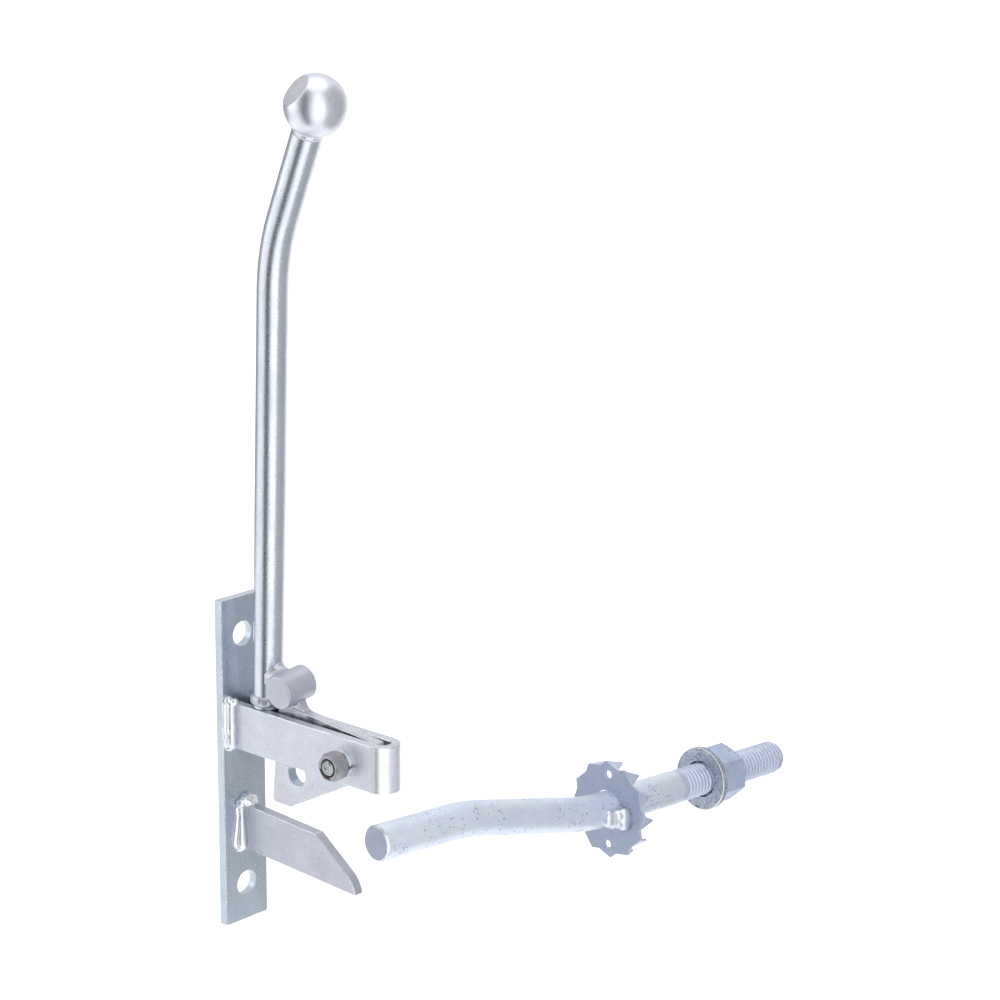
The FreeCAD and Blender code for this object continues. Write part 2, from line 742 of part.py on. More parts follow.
def striker_weld_layout():
    """Two-lobed nub that holds the toothed plate to the bar, turned about the line of its lobes."""
    face = second_bend + ALONG_Y * toothed_plate_from_bend
    on_bar = face + polar(striker_diameter / 2, striker_nub_angle) - ALONG_Y * striker_nub_run
    on_plate = face + polar(striker_diameter / 2 + striker_nub_rise, striker_nub_angle)
    reach = (on_plate - on_bar).Length
    small, large = striker_nub_bar_radius, striker_nub_plate_radius
    profile = [
        V(0, -small, 0),
        V(striker_nub_end_radius, -small, 0),
        V(small, -small / 2, 0),
        V(small, small / 2, 0),
        V(striker_nub_waist_radius, reach / 2, 0),
        V(large, reach - large / 2, 0),
        V(large, reach + large / 2, 0),
        V(0, reach + large / 2, 0),
    ]
    nub = Part.Face(Part.makePolygon(profile + profile[:1])).revolve(V(0, 0, 0), ALONG_Y, 360)
    nub.Placement = FreeCAD.Placement(on_bar, FreeCAD.Rotation(ALONG_Y, on_plate - on_bar))
    behind = cylinder(tooth_root_outer_radius, tooth_height, face, ALONG_Y)
    return nub.cut(striker_bar_layout()).cut(behind)


def striker_washer_layout():
    """Plain washer, a loose fit on the thread, against the nut."""
    base = second_bend + ALONG_Y * striker_washer_from_bend
    washer = cylinder(striker_washer_diameter / 2, striker_washer_thickness, base, ALONG_Y)
    hole_radius = striker_thread_diameter / 2 + striker_washer_clearance
    return washer.cut(cylinder(hole_radius, striker_washer_thickness, base, ALONG_Y))


def striker_nut_layout():
    """Hexagon nut behind the washer."""
    base = second_bend + ALONG_Y * (striker_washer_from_bend + striker_washer_thickness)
    return chamfered_nut(
        striker_nut_width, striker_nut_height, striker_thread_diameter, striker_nut_first_corner, base)


def write(name, shape):
    """Check one piece and write its file."""
    if not shape.isValid():
        raise ValueError(name + " is not a valid solid")
    shape.exportStep("parts/" + name + ".step")
    print(f"{name:22s} solids {len(shape.Solids)}  volume {shape.Volume:10.1f}")


def main():
    """Build every piece of the catch and of its striker."""
    os.makedirs("parts", exist_ok=True)
    write("back_plate", make_back_plate())
    write("pivot_strap", make_pivot_strap())
    write("guide_arm", make_guide_arm())
    write("strap_weld_front", make_strap_weld(-1))
    write("strap_weld_rear", make_strap_weld(1))
    write("guide_weld_front", make_guide_weld(-1))
    write("guide_weld_rear", make_guide_weld(1))
    write("guide_weld_top", make_guide_top_weld())
    write("pivot_bolt", make_pivot_bolt())
    write("pivot_spring_washer", make_pivot_spring_washer())
    write("pivot_nut", make_pivot_nut())
    write("tumbler", make_tumbler())
    write("lever_rod", make_lever_rod())
    write("lever_ball", make_lever_ball())
    write("stop_bar", make_stop_bar())
    write("saddle_weld", make_saddle_weld())
    write("root_weld", make_root_weld())
    write("foot_weld", make_foot_weld())
    write("toe_weld", make_toe_weld())
    write("striker_bar", set_in_place(striker_bar_layout()))
    write("toothed_plate", set_in_place(toothed_plate_layout()))
    write("striker_weld", set_in_place(striker_weld_layout()))
    write("striker_washer", set_in_place(striker_washer_layout()))
    write("striker_nut", set_in_place(striker_nut_layout()))


main()
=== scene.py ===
"""Dresses the gate catch: softened bars, melted weld beads, threads and zinc finishes in a plain studio."""

from __future__ import annotations

import json
import logging
import math
from collections.abc import Callable, Iterator, Sequence
from contextlib import contextmanager
from dataclasses import dataclass, replace
from enum import Enum

import bmesh
import bpy
from mathutils import Matrix, Vector

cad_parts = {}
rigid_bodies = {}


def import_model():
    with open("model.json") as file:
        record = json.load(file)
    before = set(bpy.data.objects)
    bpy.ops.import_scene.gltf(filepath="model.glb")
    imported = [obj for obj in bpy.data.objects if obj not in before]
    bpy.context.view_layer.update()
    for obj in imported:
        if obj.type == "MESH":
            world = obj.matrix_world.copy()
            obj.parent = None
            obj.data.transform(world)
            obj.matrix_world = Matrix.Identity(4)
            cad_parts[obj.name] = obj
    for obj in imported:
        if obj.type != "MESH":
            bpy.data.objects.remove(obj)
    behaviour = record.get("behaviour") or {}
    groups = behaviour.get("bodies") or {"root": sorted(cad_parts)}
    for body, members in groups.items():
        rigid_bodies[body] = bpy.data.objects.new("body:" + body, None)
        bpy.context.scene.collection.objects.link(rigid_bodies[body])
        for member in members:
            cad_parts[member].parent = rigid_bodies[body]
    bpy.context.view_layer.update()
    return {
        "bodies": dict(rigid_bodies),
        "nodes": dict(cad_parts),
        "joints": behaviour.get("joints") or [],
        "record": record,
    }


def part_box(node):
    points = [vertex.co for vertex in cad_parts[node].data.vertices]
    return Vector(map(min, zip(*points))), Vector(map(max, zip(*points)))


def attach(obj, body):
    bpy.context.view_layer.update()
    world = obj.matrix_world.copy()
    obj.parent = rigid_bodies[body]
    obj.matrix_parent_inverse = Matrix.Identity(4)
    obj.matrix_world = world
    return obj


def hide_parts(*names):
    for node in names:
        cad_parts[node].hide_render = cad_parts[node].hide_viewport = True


MM = 0.001
# Lengths below are in millimetres and angles in degrees. The ridge's drops and rises are shares.
MEETS = 0.002
TOUCHES = 0.01
FLAT_ANGLE = 0.4
FINE_GRAIN = 0.34
OVERSHOOT = 1
COUNTERSINK_SPARE = 0.4
HOLE_FACETS = 48
BAR_FACETS = 64
SOFT_CORNER = 50.0
TURNED_CORNER = 35.0
ALL_ROUND = 180.0
FACE_WEIGHT = 60
ALIGNED = 0.9
TURNED_FACE_SHARE = 0.475
TURNING_ANGLE = 30
RIDGE_SUNK = 0.25
SHOULDER_DROP = 0.30
CREST_DROP = 0.04
RIDGE_RISES = (0.94, 0.90, 0.66, 0.55, 0.39, 0.28, 0.04)
LOG = logging.getLogger("gate_catch")
Colour = tuple[float, float, float]
Place = tuple[float, float, float]
ACROSS = Vector((1, 0, 0))
ALONG = Vector((0, 1, 0))
UP = Vector((0, 0, 1))


class Body(Enum):
    """The rigid bodies that a piece can ride on."""

    CATCH = "catch"
    LEVER = "lever"


class Slot(Enum):
    """The record's material slots."""

    FLAT_BAR = "zinc_flat_bar"
    ROUND_BAR = "zinc_round_bar"
    WELD = "zinc_weld"
    PLAIN = "plain_steel"
    BRIGHT = "bright_steel"
    STRIKER = "zinc_striker"
    SHEET = "zinc_sheet"
    HARDWARE = "zinc_hardware"


def clear_selection() -> None:
    """Deselect every object, in object mode."""
    active = bpy.context.view_layer.objects.active
    if active is not None and active.mode != "OBJECT":
        bpy.ops.object.mode_set(mode="OBJECT")
    bpy.ops.object.select_all(action="DESELECT")


def choose(piece: bpy.types.Object) -> None:
    """Make one piece the selected and active object.

    Args:
        piece: The object that the next operators work on.
    """
    clear_selection()
    piece.select_set(True)
    bpy.context.view_layer.objects.active = piece


def take(name: str) -> bpy.types.Object:
    """Name the primitive that was just added and settle its place into its mesh.

    Args:
        name: Name of the object and its mesh.

    Returns:
        The object, which then sits at the origin.
    """
    piece = bpy.context.view_layer.objects.active
    piece.name = name
    piece.data.name = name
    bpy.ops.object.transform_apply(location=True, rotation=True, scale=True)
    return piece


@contextmanager
def editing(piece: bpy.types.Object) -> Iterator[None]:
    """Open a piece in edit mode with all of it selected, and close it again.

    Args:
        piece: The object to work on.
    """
    choose(piece)
    bpy.ops.object.mode_set(mode="EDIT")
    bpy.ops.mesh.select_all(action="SELECT")
    try:
        yield
    finally:
        bpy.ops.object.mode_set(mode="OBJECT")


def select_edges(piece: bpy.types.Object, test: Callable[[Vector, Vector], bool]) -> None:
    """Select edges of the piece in edit mode by their place and direction.

    Args:
        piece: The object in edit mode.
        test: Gets an edge's middle in millimetres and its unit direction.
    """
    bpy.ops.mesh.select_all(action="DESELECT")
    bpy.ops.mesh.select_mode(type="EDGE")
    mesh = bmesh.from_edit_mesh(piece.data)
    for edge in mesh.edges:
        a, b = edge.verts[0].co, edge.verts[1].co
        edge.select_set(test((a + b) / 2 / MM, (b - a).normalized()))
    bmesh.update_edit_mesh(piece.data)


def finish_with(piece: bpy.types.Object, kind: str, **settings: object) -> None:
    """Add a modifier to a piece, set it and apply it.

    Args:
        piece: The object that keeps the result.
        kind: The modifier's type.
        **settings: The modifier's own settings.
    """
    choose(piece)
    modifier = piece.modifiers.new(kind.title(), kind)
    for key, value in settings.items():
        setattr(modifier, key, value)
    bpy.ops.object.modifier_apply(modifier=modifier.name)


def combine(piece: bpy.types.Object, tool: bpy.types.Object, operation: str = "DIFFERENCE") -> None:
    """Cut, intersect or unite a piece with a tool, and take the tool away."""
    finish_with(piece, "BOOLEAN", object=tool, operation=operation, solver="EXACT")
    bpy.data.objects.remove(tool, do_unlink=True)


def facing(direction: Vector) -> object:
    """Rotation that turns a primitive's own axis to a direction."""
    return Vector(direction).to_track_quat("Z", "Y").to_euler()


def drill(piece: bpy.types.Object, diameter: float, start: Place, end: Place) -> None:
    """Bore a round hole between two points, in millimetres.

    Args:
        piece: The closed mesh.
        diameter: How wide the hole is.
        start: Where the drill goes in.
        end: Where it comes out.
    """
    run = Vector(end) - Vector(start)
    clear_selection()
    bpy.ops.mesh.primitive_cylinder_add(
        vertices=HOLE_FACETS,
        radius=diameter / 2 * MM,
        depth=run.length * MM,
        location=(Vector(start) + run / 2) * MM,
        rotation=facing(run),
    )
    combine(piece, take("drill"))


def countersink(
    piece: bpy.types.Object, wide: float, narrow: float, mouth: Vector, inwards: Vector
) -> None:
    """Turn a hole's mouth out to a cone of 45 degrees.

    Args:
        piece: The closed mesh.
        wide: Diameter at the mouth, in millimetres.
        narrow: Diameter where the cone ends.
        mouth: Middle of the mouth, in millimetres.
        inwards: Unit direction into the piece.
    """
    depth = (wide - narrow) / 2
    clear_selection()
    bpy.ops.mesh.primitive_cone_add(
        vertices=HOLE_FACETS,
        radius1=(wide / 2 + COUNTERSINK_SPARE) * MM,
        radius2=narrow / 2 * MM,
        depth=(depth + COUNTERSINK_SPARE) * MM,
        location=(mouth + inwards * (depth - COUNTERSINK_SPARE) / 2) * MM,
        rotation=facing(inwards),
    )
    combine(piece, take("cone"))


def tidy_shell(piece: bpy.types.Object) -> None:
    """Merge what meets and turn every face outwards.

    Args:
        piece: The closed mesh.
    """
    with editing(piece):
        bpy.ops.mesh.remove_doubles(threshold=MEETS * MM)
        bpy.ops.mesh.select_all(action="SELECT")
        bpy.ops.mesh.normals_make_consistent(inside=False)


def smooth(piece: bpy.types.Object, degrees: float) -> None:
    """Shade a piece smooth, except across sharp corners."""
    choose(piece)
    bpy.ops.object.shade_smooth_by_angle(angle=math.radians(degrees))


def soften(piece: bpy.types.Object, width: float, segments: int = 3, corner: float = 32.0) -> None:
    """Round the corners of a piece as its coat of zinc does, and set the rounding apart as its rim.

    Args:
        piece: The closed mesh.
        width: How far the rounding reaches from a corner, in millimetres.
        segments: Facets across the rounding.
        corner: Corners flatter than this, in degrees, are left.
    """
    while len(piece.data.materials) < 2:
        piece.data.materials.append(None)
    finish_with(
        piece,
        "BEVEL",
        width=width * MM,
        segments=segments,
        limit_method="ANGLE",
        angle_limit=math.radians(corner),
        use_clamp_overlap=True,
        material=1,
    )
    smooth(piece, SOFT_CORNER)
    finish_with(piece, "WEIGHTED_NORMAL", weight=FACE_WEIGHT, keep_sharp=False)


class Pen:
    """Draws an outline by extruding one vertex from point to point, all in millimetres."""

    def __init__(self, name: str, start: Place) -> None:
        """Put the first point down and open it in edit mode.

        Args:
            name: Name of the drawn object.
            start: Where the first point lies.
        """
        clear_selection()
        bpy.ops.mesh.primitive_plane_add(size=MM, location=Vector(start) * MM)
        self.piece = take(name)
        self.here = Vector(start)
        self.start = Vector(start)
        choose(self.piece)
        bpy.ops.object.mode_set(mode="EDIT")
        bpy.ops.mesh.select_mode(type="VERT")
        bpy.ops.mesh.select_all(action="SELECT")
        bpy.ops.mesh.merge(type="CENTER")

    def line(self, *points: Place) -> "Pen":
        """Draw straight edges on to each point in turn.

        Args:
            *points: Where the edges end.

        Returns:
            The pen itself.
        """
        for point in points:
            step = (Vector(point) - self.here) * MM
            bpy.ops.mesh.extrude_region_move(TRANSFORM_OT_translate={"value": step})
            self.here = Vector(point)
        return self

    def arc(self, centre: Place, axis: Place, degrees: float, steps: int) -> "Pen":
        """Draw an arc about an axis through a centre, positive by the right-hand rule.

        Args:
            centre: A point of the axis.
            axis: Its unit direction.
            degrees: How far the arc sweeps.
            steps: Edges in the arc.

        Returns:
            The pen itself.
        """
        middle, along = Vector(centre), Vector(axis)
        for _ in range(steps):
            turn = Matrix.Rotation(math.radians(degrees / steps), 3, along)
            self.line(middle + turn @ (self.here - middle))
        return self

    def open_end(self) -> bpy.types.Object:
        """Leave the outline open and return it in object mode."""
        bpy.ops.object.mode_set(mode="OBJECT")
        return self.piece

    def close(self, fill: bool = True) -> bpy.types.Object:
        """Draw back to the start and join up.

        Args:
            fill: Whether the outline becomes a face.

        Returns:
            The drawn object, in object mode.
        """
        self.line(self.start)
        bpy.ops.mesh.select_all(action="SELECT")
        bpy.ops.mesh.remove_doubles(threshold=MEETS * MM)
        bpy.ops.mesh.select_all(action="SELECT")
        if fill:
            bpy.ops.mesh.edge_face_add()
        bpy.ops.object.mode_set(mode="OBJECT")
        return self.piece


def thicken(piece: bpy.types.Object, depth: Place) -> bpy.types.Object:
    """Extrude a flat face into a slab, in millimetres.

    Args:
        piece: The filled outline.
        depth: How far it goes, along each axis.

    Returns:
        The same piece, closed.
    """
    with editing(piece):
        bpy.ops.mesh.extrude_region_move(TRANSFORM_OT_translate={"value": Vector(depth) * MM})
    tidy_shell(piece)
    return piece


def revolve(piece: bpy.types.Object, steps: int = BAR_FACETS) -> bpy.types.Object:
    """Spin an outline once about the Y axis.

    Args:
        piece: The outline, joined up or with both ends on the axis.
        steps: Facets in the turn.

    Returns:
        The same piece, closed.
    """
    with editing(piece):
        bpy.ops.mesh.spin(steps=steps, angle=2 * math.pi, center=(0, 0, 0), axis=(0, 1, 0))
    tidy_shell(piece)
    return piece


def join(name: str, pieces: Sequence[bpy.types.Object]) -> bpy.types.Object:
    """Join several shells into one object with the given name.

    Args:
        name: Name of the joined object and its mesh.
        pieces: The shells, the first of which takes in the rest.

    Returns:
        The joined object.
    """
    choose(pieces[0])
    for piece in pieces:
        piece.select_set(True)
    bpy.ops.object.join()
    joined = bpy.context.view_layer.objects.active
    joined.name = name
    joined.data.name = name
    return joined


def move_mesh(piece: bpy.types.Object, place: Matrix) -> None:
    """Set a piece in its place and settle that into its mesh.

    Args:
        piece: The object.
        place: How it moves, in metres.
    """
    choose(piece)
    piece.matrix_world = place
    bpy.ops.object.transform_apply(location=True, rotation=True, scale=True)


def merged_copy(node: bpy.types.Object, name: str) -> bpy.types.Object:
    """Own copy of a CAD node's mesh, its loose triangles merged into whole faces.

    Args:
        node: The CAD node's object, which stays as it is.
        name: Name of the copy.

    Returns:
        The copy, without materials.
    """
    copy = bpy.data.objects.new(name, node.data.copy())
    copy.data.name = name
    copy.data.materials.clear()
    bpy.context.scene.collection.objects.link(copy)
    tidy_shell(copy)
    with editing(copy):
        bpy.ops.mesh.dissolve_limited(angle_limit=math.radians(FLAT_ANGLE))
    return copy


def bar_end(name: str, radius: float, centre: Vector, direction: Vector) -> bpy.types.Object:
    """Round end face of a bar, square to the direction in which it is then pushed out.

    Args:
        name: Name of the bar.
        radius: Its radius at the face, in millimetres.
        centre: Middle of the face, in millimetres.
        direction: Unit direction of the first push.

    Returns:
        A flat disc.
    """
    clear_selection()
    bpy.ops.mesh.primitive_circle_add(
        vertices=BAR_FACETS,
        radius=radius * MM,
        fill_type="NGON",
        location=centre * MM,
        rotation=facing(direction),
    )
    return take(name)


def hold_end() -> None:
    """Select the end face of a bar that is open in edit mode."""
    bpy.ops.mesh.select_mode(type="FACE")
    bpy.ops.mesh.select_all(action="SELECT")


def push(step: Vector, grow: float = 1.0) -> None:
    """Extrude the selected end by a step in millimetres, and grow it about its middle.

    Args:
        step: How far the end goes, along each axis.
        grow: Its new width, as a share of the old.
    """
    bpy.ops.mesh.extrude_region_move(TRANSFORM_OT_translate={"value": step * MM})
    if grow != 1.0:
        bpy.ops.transform.resize(value=(grow, grow, grow))


def bend(degrees: float, centre: Vector, axis: Vector, steps: int = 12) -> None:
    """Spin the selected end about an axis by the right-hand rule, round a centre in millimetres."""
    bpy.ops.mesh.spin(steps=steps, angle=-math.radians(degrees), center=centre * MM, axis=axis)


def hexagon(name: str, width: float, height: float, base: Vector, first_corner: float) -> bpy.types.Object:
    """Hexagon along +Y with its corners turned off at both faces.

    Args:
        name: Name of the new object.
        width: Size across flats, in millimetres.
        height: Length along +Y.
        base: Middle of the face at the lower Y.
        first_corner: Angle of one corner from +X towards +Z, in degrees.

    Returns:
        A closed mesh without its bore.
    """
    corner = width / math.sqrt(3)
    face = TURNED_FACE_SHARE * width
    rise = (corner - face) * math.tan(math.radians(TURNING_ANGLE))
    clear_selection()
    bpy.ops.mesh.primitive_cylinder_add(
        vertices=6,
        radius=corner * MM,
        depth=height * MM,
        location=(0, height / 2 * MM, 0),
        rotation=(math.pi / 2, math.radians(30 - first_corner), 0),
    )
    nut = take(name)
    pen = Pen("turned", (0, 0, 0)).line((face, 0, 0), (corner, rise, 0), (corner, height - rise, 0))
    combine(nut, revolve(pen.line((face, height, 0), (0, height, 0)).open_end()), "INTERSECT")
    move_mesh(nut, Matrix.Translation(base * MM))
    return nut


def thread_ridge(
    name: str, radius: float, depth: float, pitch: float, turns: int, steps: int
) -> bpy.types.Object:
    """Right-hand thread ridge about the Y axis from the origin, with a rounded crest.

    Args:
        name: Name of the new object.
        radius: Crest radius in millimetres.
        depth: Height of the ridge in millimetres.
        pitch: Rise of one turn in millimetres.
        turns: Whole turns.
        steps: Facets in one turn.

    Returns:
        A closed helical ridge whose foot is sunk in the core.
    """
    root = radius - depth
    shoulder, crest = radius - depth * SHOULDER_DROP, radius - depth * CREST_DROP
    pen = Pen(name, (root - RIDGE_SUNK, 0.0, 0.0))
    outline = zip((root - RIDGE_SUNK, root, shoulder, crest, crest, shoulder, root), RIDGE_RISES)
    pen.line(*((out, pitch * rise, 0.0) for out, rise in outline))
    ridge = pen.close(fill=False)
    finish_with(
        ridge,
        "SCREW",
        axis="Y",
        angle=2 * math.pi,
        screw_offset=pitch * MM,
        iterations=turns,
        steps=steps,
        render_steps=steps,
        use_smooth_shade=True,
    )
    with editing(ridge):
        bpy.ops.mesh.select_mode(type="EDGE")
        bpy.ops.mesh.select_all(action="DESELECT")
        bpy.ops.mesh.select_non_manifold()
        bpy.ops.mesh.fill_holes(sides=0)
    tidy_shell(ridge)
    return ridge


class Puddle:
    """Weld under zinc: drops set side by side and melted into one skin. Millimetres, shares of a leg."""

    STEPS = 3
    FLANK_PLACE = 0.5
    FLANK_LIFT = 0.08
    END_REACH = 0.3
    END_PARTS = (0.25, 0.5, 0.75)
    RIDGE_PLACE = 0.34
    RIDGE_RADIUS = 0.52
    TOE_RADIUS = 0.18
    FLANK_RADIUS = 0.34

    def __init__(self, name: str, grain: float = 0.4) -> None:
        """Start an empty puddle.

        Args:
            name: Name of the skin that it becomes.
            grain: Size of the skin's facets.
        """
        self.name = name
        self.grain = grain
        self.drops: list[bpy.types.Object] = []

    def drop(self, place: Place, radius: float) -> None:
        """Set one drop of weld.

        Args:
            place: Middle of the drop.
            radius: Its radius.
        """
        clear_selection()
        bpy.ops.mesh.primitive_ico_sphere_add(
            subdivisions=3, radius=radius * MM, location=Vector(place) * MM, scale=(1.0, 1.0, 1.0)
        )
        self.drops.append(take("drop"))

    def bead(
        self, start: Vector, run: Vector, out: Vector, toe: Vector, leg: float, swell: Sequence[float]
    ) -> None:
        """Lay a run of drops in a corner.

        Args:
            start: The corner's point where the first drop lies.
            run: From the first to the last drop.
            out: Sum of the unit directions away from the corner along both faces.
            toe: Unit direction along the face that takes the bead's thin far edge.
            leg: How far the bead reaches along each face.
            swell: Share of the leg that each drop takes, one after another.
        """
        steps = self.STEPS * (len(swell) - 1)
        for step in range(steps + 1):
            index, part = divmod(step, self.STEPS)
            following = swell[min(index + 1, len(swell) - 1)]
            reach = leg * (swell[index] + (following - swell[index]) * part / self.STEPS)
            place = start + run * (step / steps)
            self.drop(place + out * (self.RIDGE_PLACE * reach), self.RIDGE_RADIUS * reach)
            self.drop(place + toe * reach, self.TOE_RADIUS * leg)
            flank = toe * (self.FLANK_PLACE * reach) + out * (self.FLANK_LIFT * leg)
            self.drop(place + flank, self.FLANK_RADIUS * reach)
        onward = run.normalized()
        for end, share, away in ((start, swell[0], -onward), (start + run, swell[-1], onward)):
            for part in self.END_PARTS:
                across = out * (self.RIDGE_PLACE * (1 - part)) + toe * part
                place = end + (across * share + away * self.END_REACH) * leg
                self.drop(place, self.TOE_RADIUS * (2 - part) * leg)

    def take_in(self, node: bpy.types.Object) -> None:
        """Melt a CAD weld's form in with the drops."""
        self.drops.append(merged_copy(node, "form"))

    def melt(self, passes: int = 5, swell: float = 0.0) -> bpy.types.Object:
        """Melt all drops into one skin.

        Args:
            passes: How often the skin is smoothed.
            swell: How far it is then pushed out along its normals.

        Returns:
            The closed skin.
        """
        skin = join(self.name, self.drops)
        finish_with(skin, "REMESH", mode="VOXEL", voxel_size=self.grain * MM)
        finish_with(skin, "SMOOTH", factor=0.5, iterations=passes)
        if swell:
            finish_with(skin, "DISPLACE", strength=swell * MM, mid_level=0.0)
        tidy_shell(skin)
        smooth(skin, ALL_ROUND)
        return skin


class Graph:
    """Builds a shader node tree, one node after another."""

    def __init__(self, tree: bpy.types.NodeTree) -> None:
        """Keep the tree that nodes are added to."""
        self.tree = tree

    def add(self, kind: str, inputs: dict[str, object] | None = None, **settings: object) -> bpy.types.Node:
        """Add a node.

        Args:
            kind: The node's type.
            inputs: For each named or numbered input a plain value or another node's output.
            settings: The node's own settings.

        Returns:
            The new node.
        """
        node = self.tree.nodes.new(kind)
        for key, value in settings.items():
            setattr(node, key, value)
        for key, value in (inputs or {}).items():
            self.feed(node.inputs[key], value)
        return node

    def feed(self, socket: bpy.types.NodeSocket, value: object) -> None:
        """Give an input a plain value or link another node's output to it.

        Args:
            socket: The input.
            value: A plain value or an output.
        """
        if isinstance(value, bpy.types.NodeSocket):
            self.tree.links.new(value, socket)
        else:
            socket.default_value = value

    def place_group(self, group: bpy.types.NodeTree, **inputs: object) -> bpy.types.Node:
        """Add a node group and feed its inputs.

        Args:
            group: The node group.
            **inputs: What each of its inputs gets, named with underscores for spaces.

        Returns:
            The group's node.
        """
        node = self.add("ShaderNodeGroup", node_tree=group)
        for key, value in inputs.items():
            self.feed(node.inputs[key.replace("_", " ")], value)
        return node

    def value(self, kind: str, a: object, b: object) -> bpy.types.NodeSocket:
        """Result of a Math node on two values."""
        return self.add("ShaderNodeMath", {0: a, 1: b}, operation=kind).outputs[0]

    def arrow(self, kind: str, a: object, b: object) -> bpy.types.NodeSocket:
        """Result of a Vector Math node on two vectors."""
        return self.add("ShaderNodeVectorMath", {0: a, 1: b}, operation=kind).outputs[0]

    def ranged(
        self, value: object, low: float, high: float, to_low: float = 0.0, to_high: float = 1.0
    ) -> bpy.types.NodeSocket:
        """Value carried from one range to another, held at its ends."""
        inputs = {"Value": value, "From Min": low, "From Max": high, "To Min": to_low, "To Max": to_high}
        return self.add("ShaderNodeMapRange", inputs, clamp=True).outputs["Result"]

    def mixed(self, share: object, a: object, b: object) -> bpy.types.NodeSocket:
        """Two colours mixed by a share.

        Args:
            share: How much of the second colour there is.
            a: The first colour.
            b: The second colour.

        Returns:
            The mixed colour.
        """
        node = self.add("ShaderNodeMix", data_type="RGBA")
        for index, value in ((0, share), (6, a), (7, b)):
            self.feed(node.inputs[index], value)
        return node.outputs[2]


class Effects:
    """Node groups that several finishes share."""

    WARP = 0.004
    CRYSTAL_SOFTNESS = 0.35
    SMALLEST_PIT = 0.35
    PIT_RIM = 0.14
    STAIN_AND_SHADE_RAG_SCALE = 420.0
    CLOUD_RANGE = (0.3, 0.7)
    GRAIN_RANGE = (0.25, 0.75)
    PATCH_RANGE = (0.42, 0.68)
    MARK_RANGE = (0.34, 0.66)
    RAG_RANGE = (0.3, 0.7, -0.5, 0.6)
    STAIN_AND_SHADE_EDGE = (0.35, 1.0, 1.0, 0.0)

    def __init__(self) -> None:
        """Build each group once."""
        self.spangle = self._spangle()
        self.pits = self._pits()
        self.streaks = self._streaks()
        self.stain_and_shade = self._stain_and_shade()

    @staticmethod
    def _start(
        name: str, inputs: dict[str, float], outputs: Sequence[str]
    ) -> tuple[Graph, bpy.types.Node, bpy.types.Node]:
        """Begin a group with a Vector input, number inputs and number outputs.

        Args:
            name: Name of the group.
            inputs: Its number inputs and what they are unless fed.
            outputs: Its number outputs.

        Returns:
            The group's graph, and its input and output nodes.
        """
        tree = bpy.data.node_groups.new(name, "ShaderNodeTree")
        tree.interface.new_socket(name="Vector", in_out="INPUT", socket_type="NodeSocketVector")
        for key, value in inputs.items():
            socket = tree.interface.new_socket(name=key, in_out="INPUT", socket_type="NodeSocketFloat")
            socket.default_value = value
        for key in outputs:
            tree.interface.new_socket(name=key, in_out="OUTPUT", socket_type="NodeSocketFloat")
        graph = Graph(tree)
        return graph, graph.add("NodeGroupInput"), graph.add("NodeGroupOutput")

    def _spangle(self) -> bpy.types.NodeTree:
        """Zinc crystals, the soft clouds that lie over them and the fine grain between.

        Returns:
            The node group.
        """
        scales = {"Scale": 200.0, "Cloud Scale": 40.0, "Grain Scale": 1400.0}
        graph, start, end = self._start("Zinc spangle", scales, ("Crystal", "Cloud", "Grain"))
        place, scale = start.outputs["Vector"], start.outputs["Scale"]
        warp = graph.add("ShaderNodeTexNoise", {"Vector": place, "Scale": scale, "Detail": 2.0})
        bent = graph.arrow("SUBTRACT", warp.outputs["Color"], (0.5, 0.5, 0.5))
        moved = graph.arrow("ADD", place, graph.arrow("MULTIPLY", bent, (self.WARP, self.WARP, self.WARP)))
        cells = graph.add("ShaderNodeTexVoronoi", {"Vector": moved, "Scale": scale}, feature="SMOOTH_F1")
        graph.feed(cells.inputs["Smoothness"], self.CRYSTAL_SOFTNESS)
        grey = graph.add("ShaderNodeSeparateColor", {"Color": cells.outputs["Color"]})
        clouds = graph.add(
            "ShaderNodeTexNoise",
            {"Vector": place, "Scale": start.outputs["Cloud Scale"], "Detail": 4.0, "Roughness": 0.6},
        )
        grain = graph.add(
            "ShaderNodeTexNoise",
            {"Vector": place, "Scale": start.outputs["Grain Scale"], "Detail": 3.0, "Roughness": 0.7},
        )
        graph.feed(end.inputs["Crystal"], grey.outputs["Red"])
        graph.feed(end.inputs["Cloud"], graph.ranged(clouds.outputs["Fac"], *self.CLOUD_RANGE))
        graph.feed(end.inputs["Grain"], graph.ranged(grain.outputs["Fac"], *self.GRAIN_RANGE))
        return graph.tree

    def _pits(self) -> bpy.types.NodeTree:
        """Scattered small dark pits, thicker in patches.

        Returns:
            The node group.
        """
        sizes = {"Scale": 500.0, "Amount": 0.3, "Size": 0.3, "Patch Scale": 60.0}
        graph, start, end = self._start("Zinc pits", sizes, ("Mask",))
        place = start.outputs["Vector"]
        cells = graph.add("ShaderNodeTexVoronoi", {"Vector": place, "Scale": start.outputs["Scale"]})
        chance = graph.add("ShaderNodeSeparateColor", {"Color": cells.outputs["Color"]})
        patch = graph.add(
            "ShaderNodeTexNoise", {"Vector": place, "Scale": start.outputs["Patch Scale"], "Detail": 2.0}
        )
        thick = graph.ranged(patch.outputs["Fac"], *self.PATCH_RANGE)
        limit = graph.value("MULTIPLY", thick, start.outputs["Amount"])
        present = graph.value("LESS_THAN", chance.outputs["Red"], limit)
        share = graph.ranged(chance.outputs["Green"], 0.0, 1.0, self.SMALLEST_PIT, 1.0)
        wide = graph.value("MULTIPLY", start.outputs["Size"], share)
        nearness = graph.value("SUBTRACT", wide, cells.outputs["Distance"])
        dot = graph.ranged(nearness, 0.0, self.PIT_RIM)
        graph.feed(end.inputs["Mask"], graph.value("MULTIPLY", dot, present))
        return graph.tree

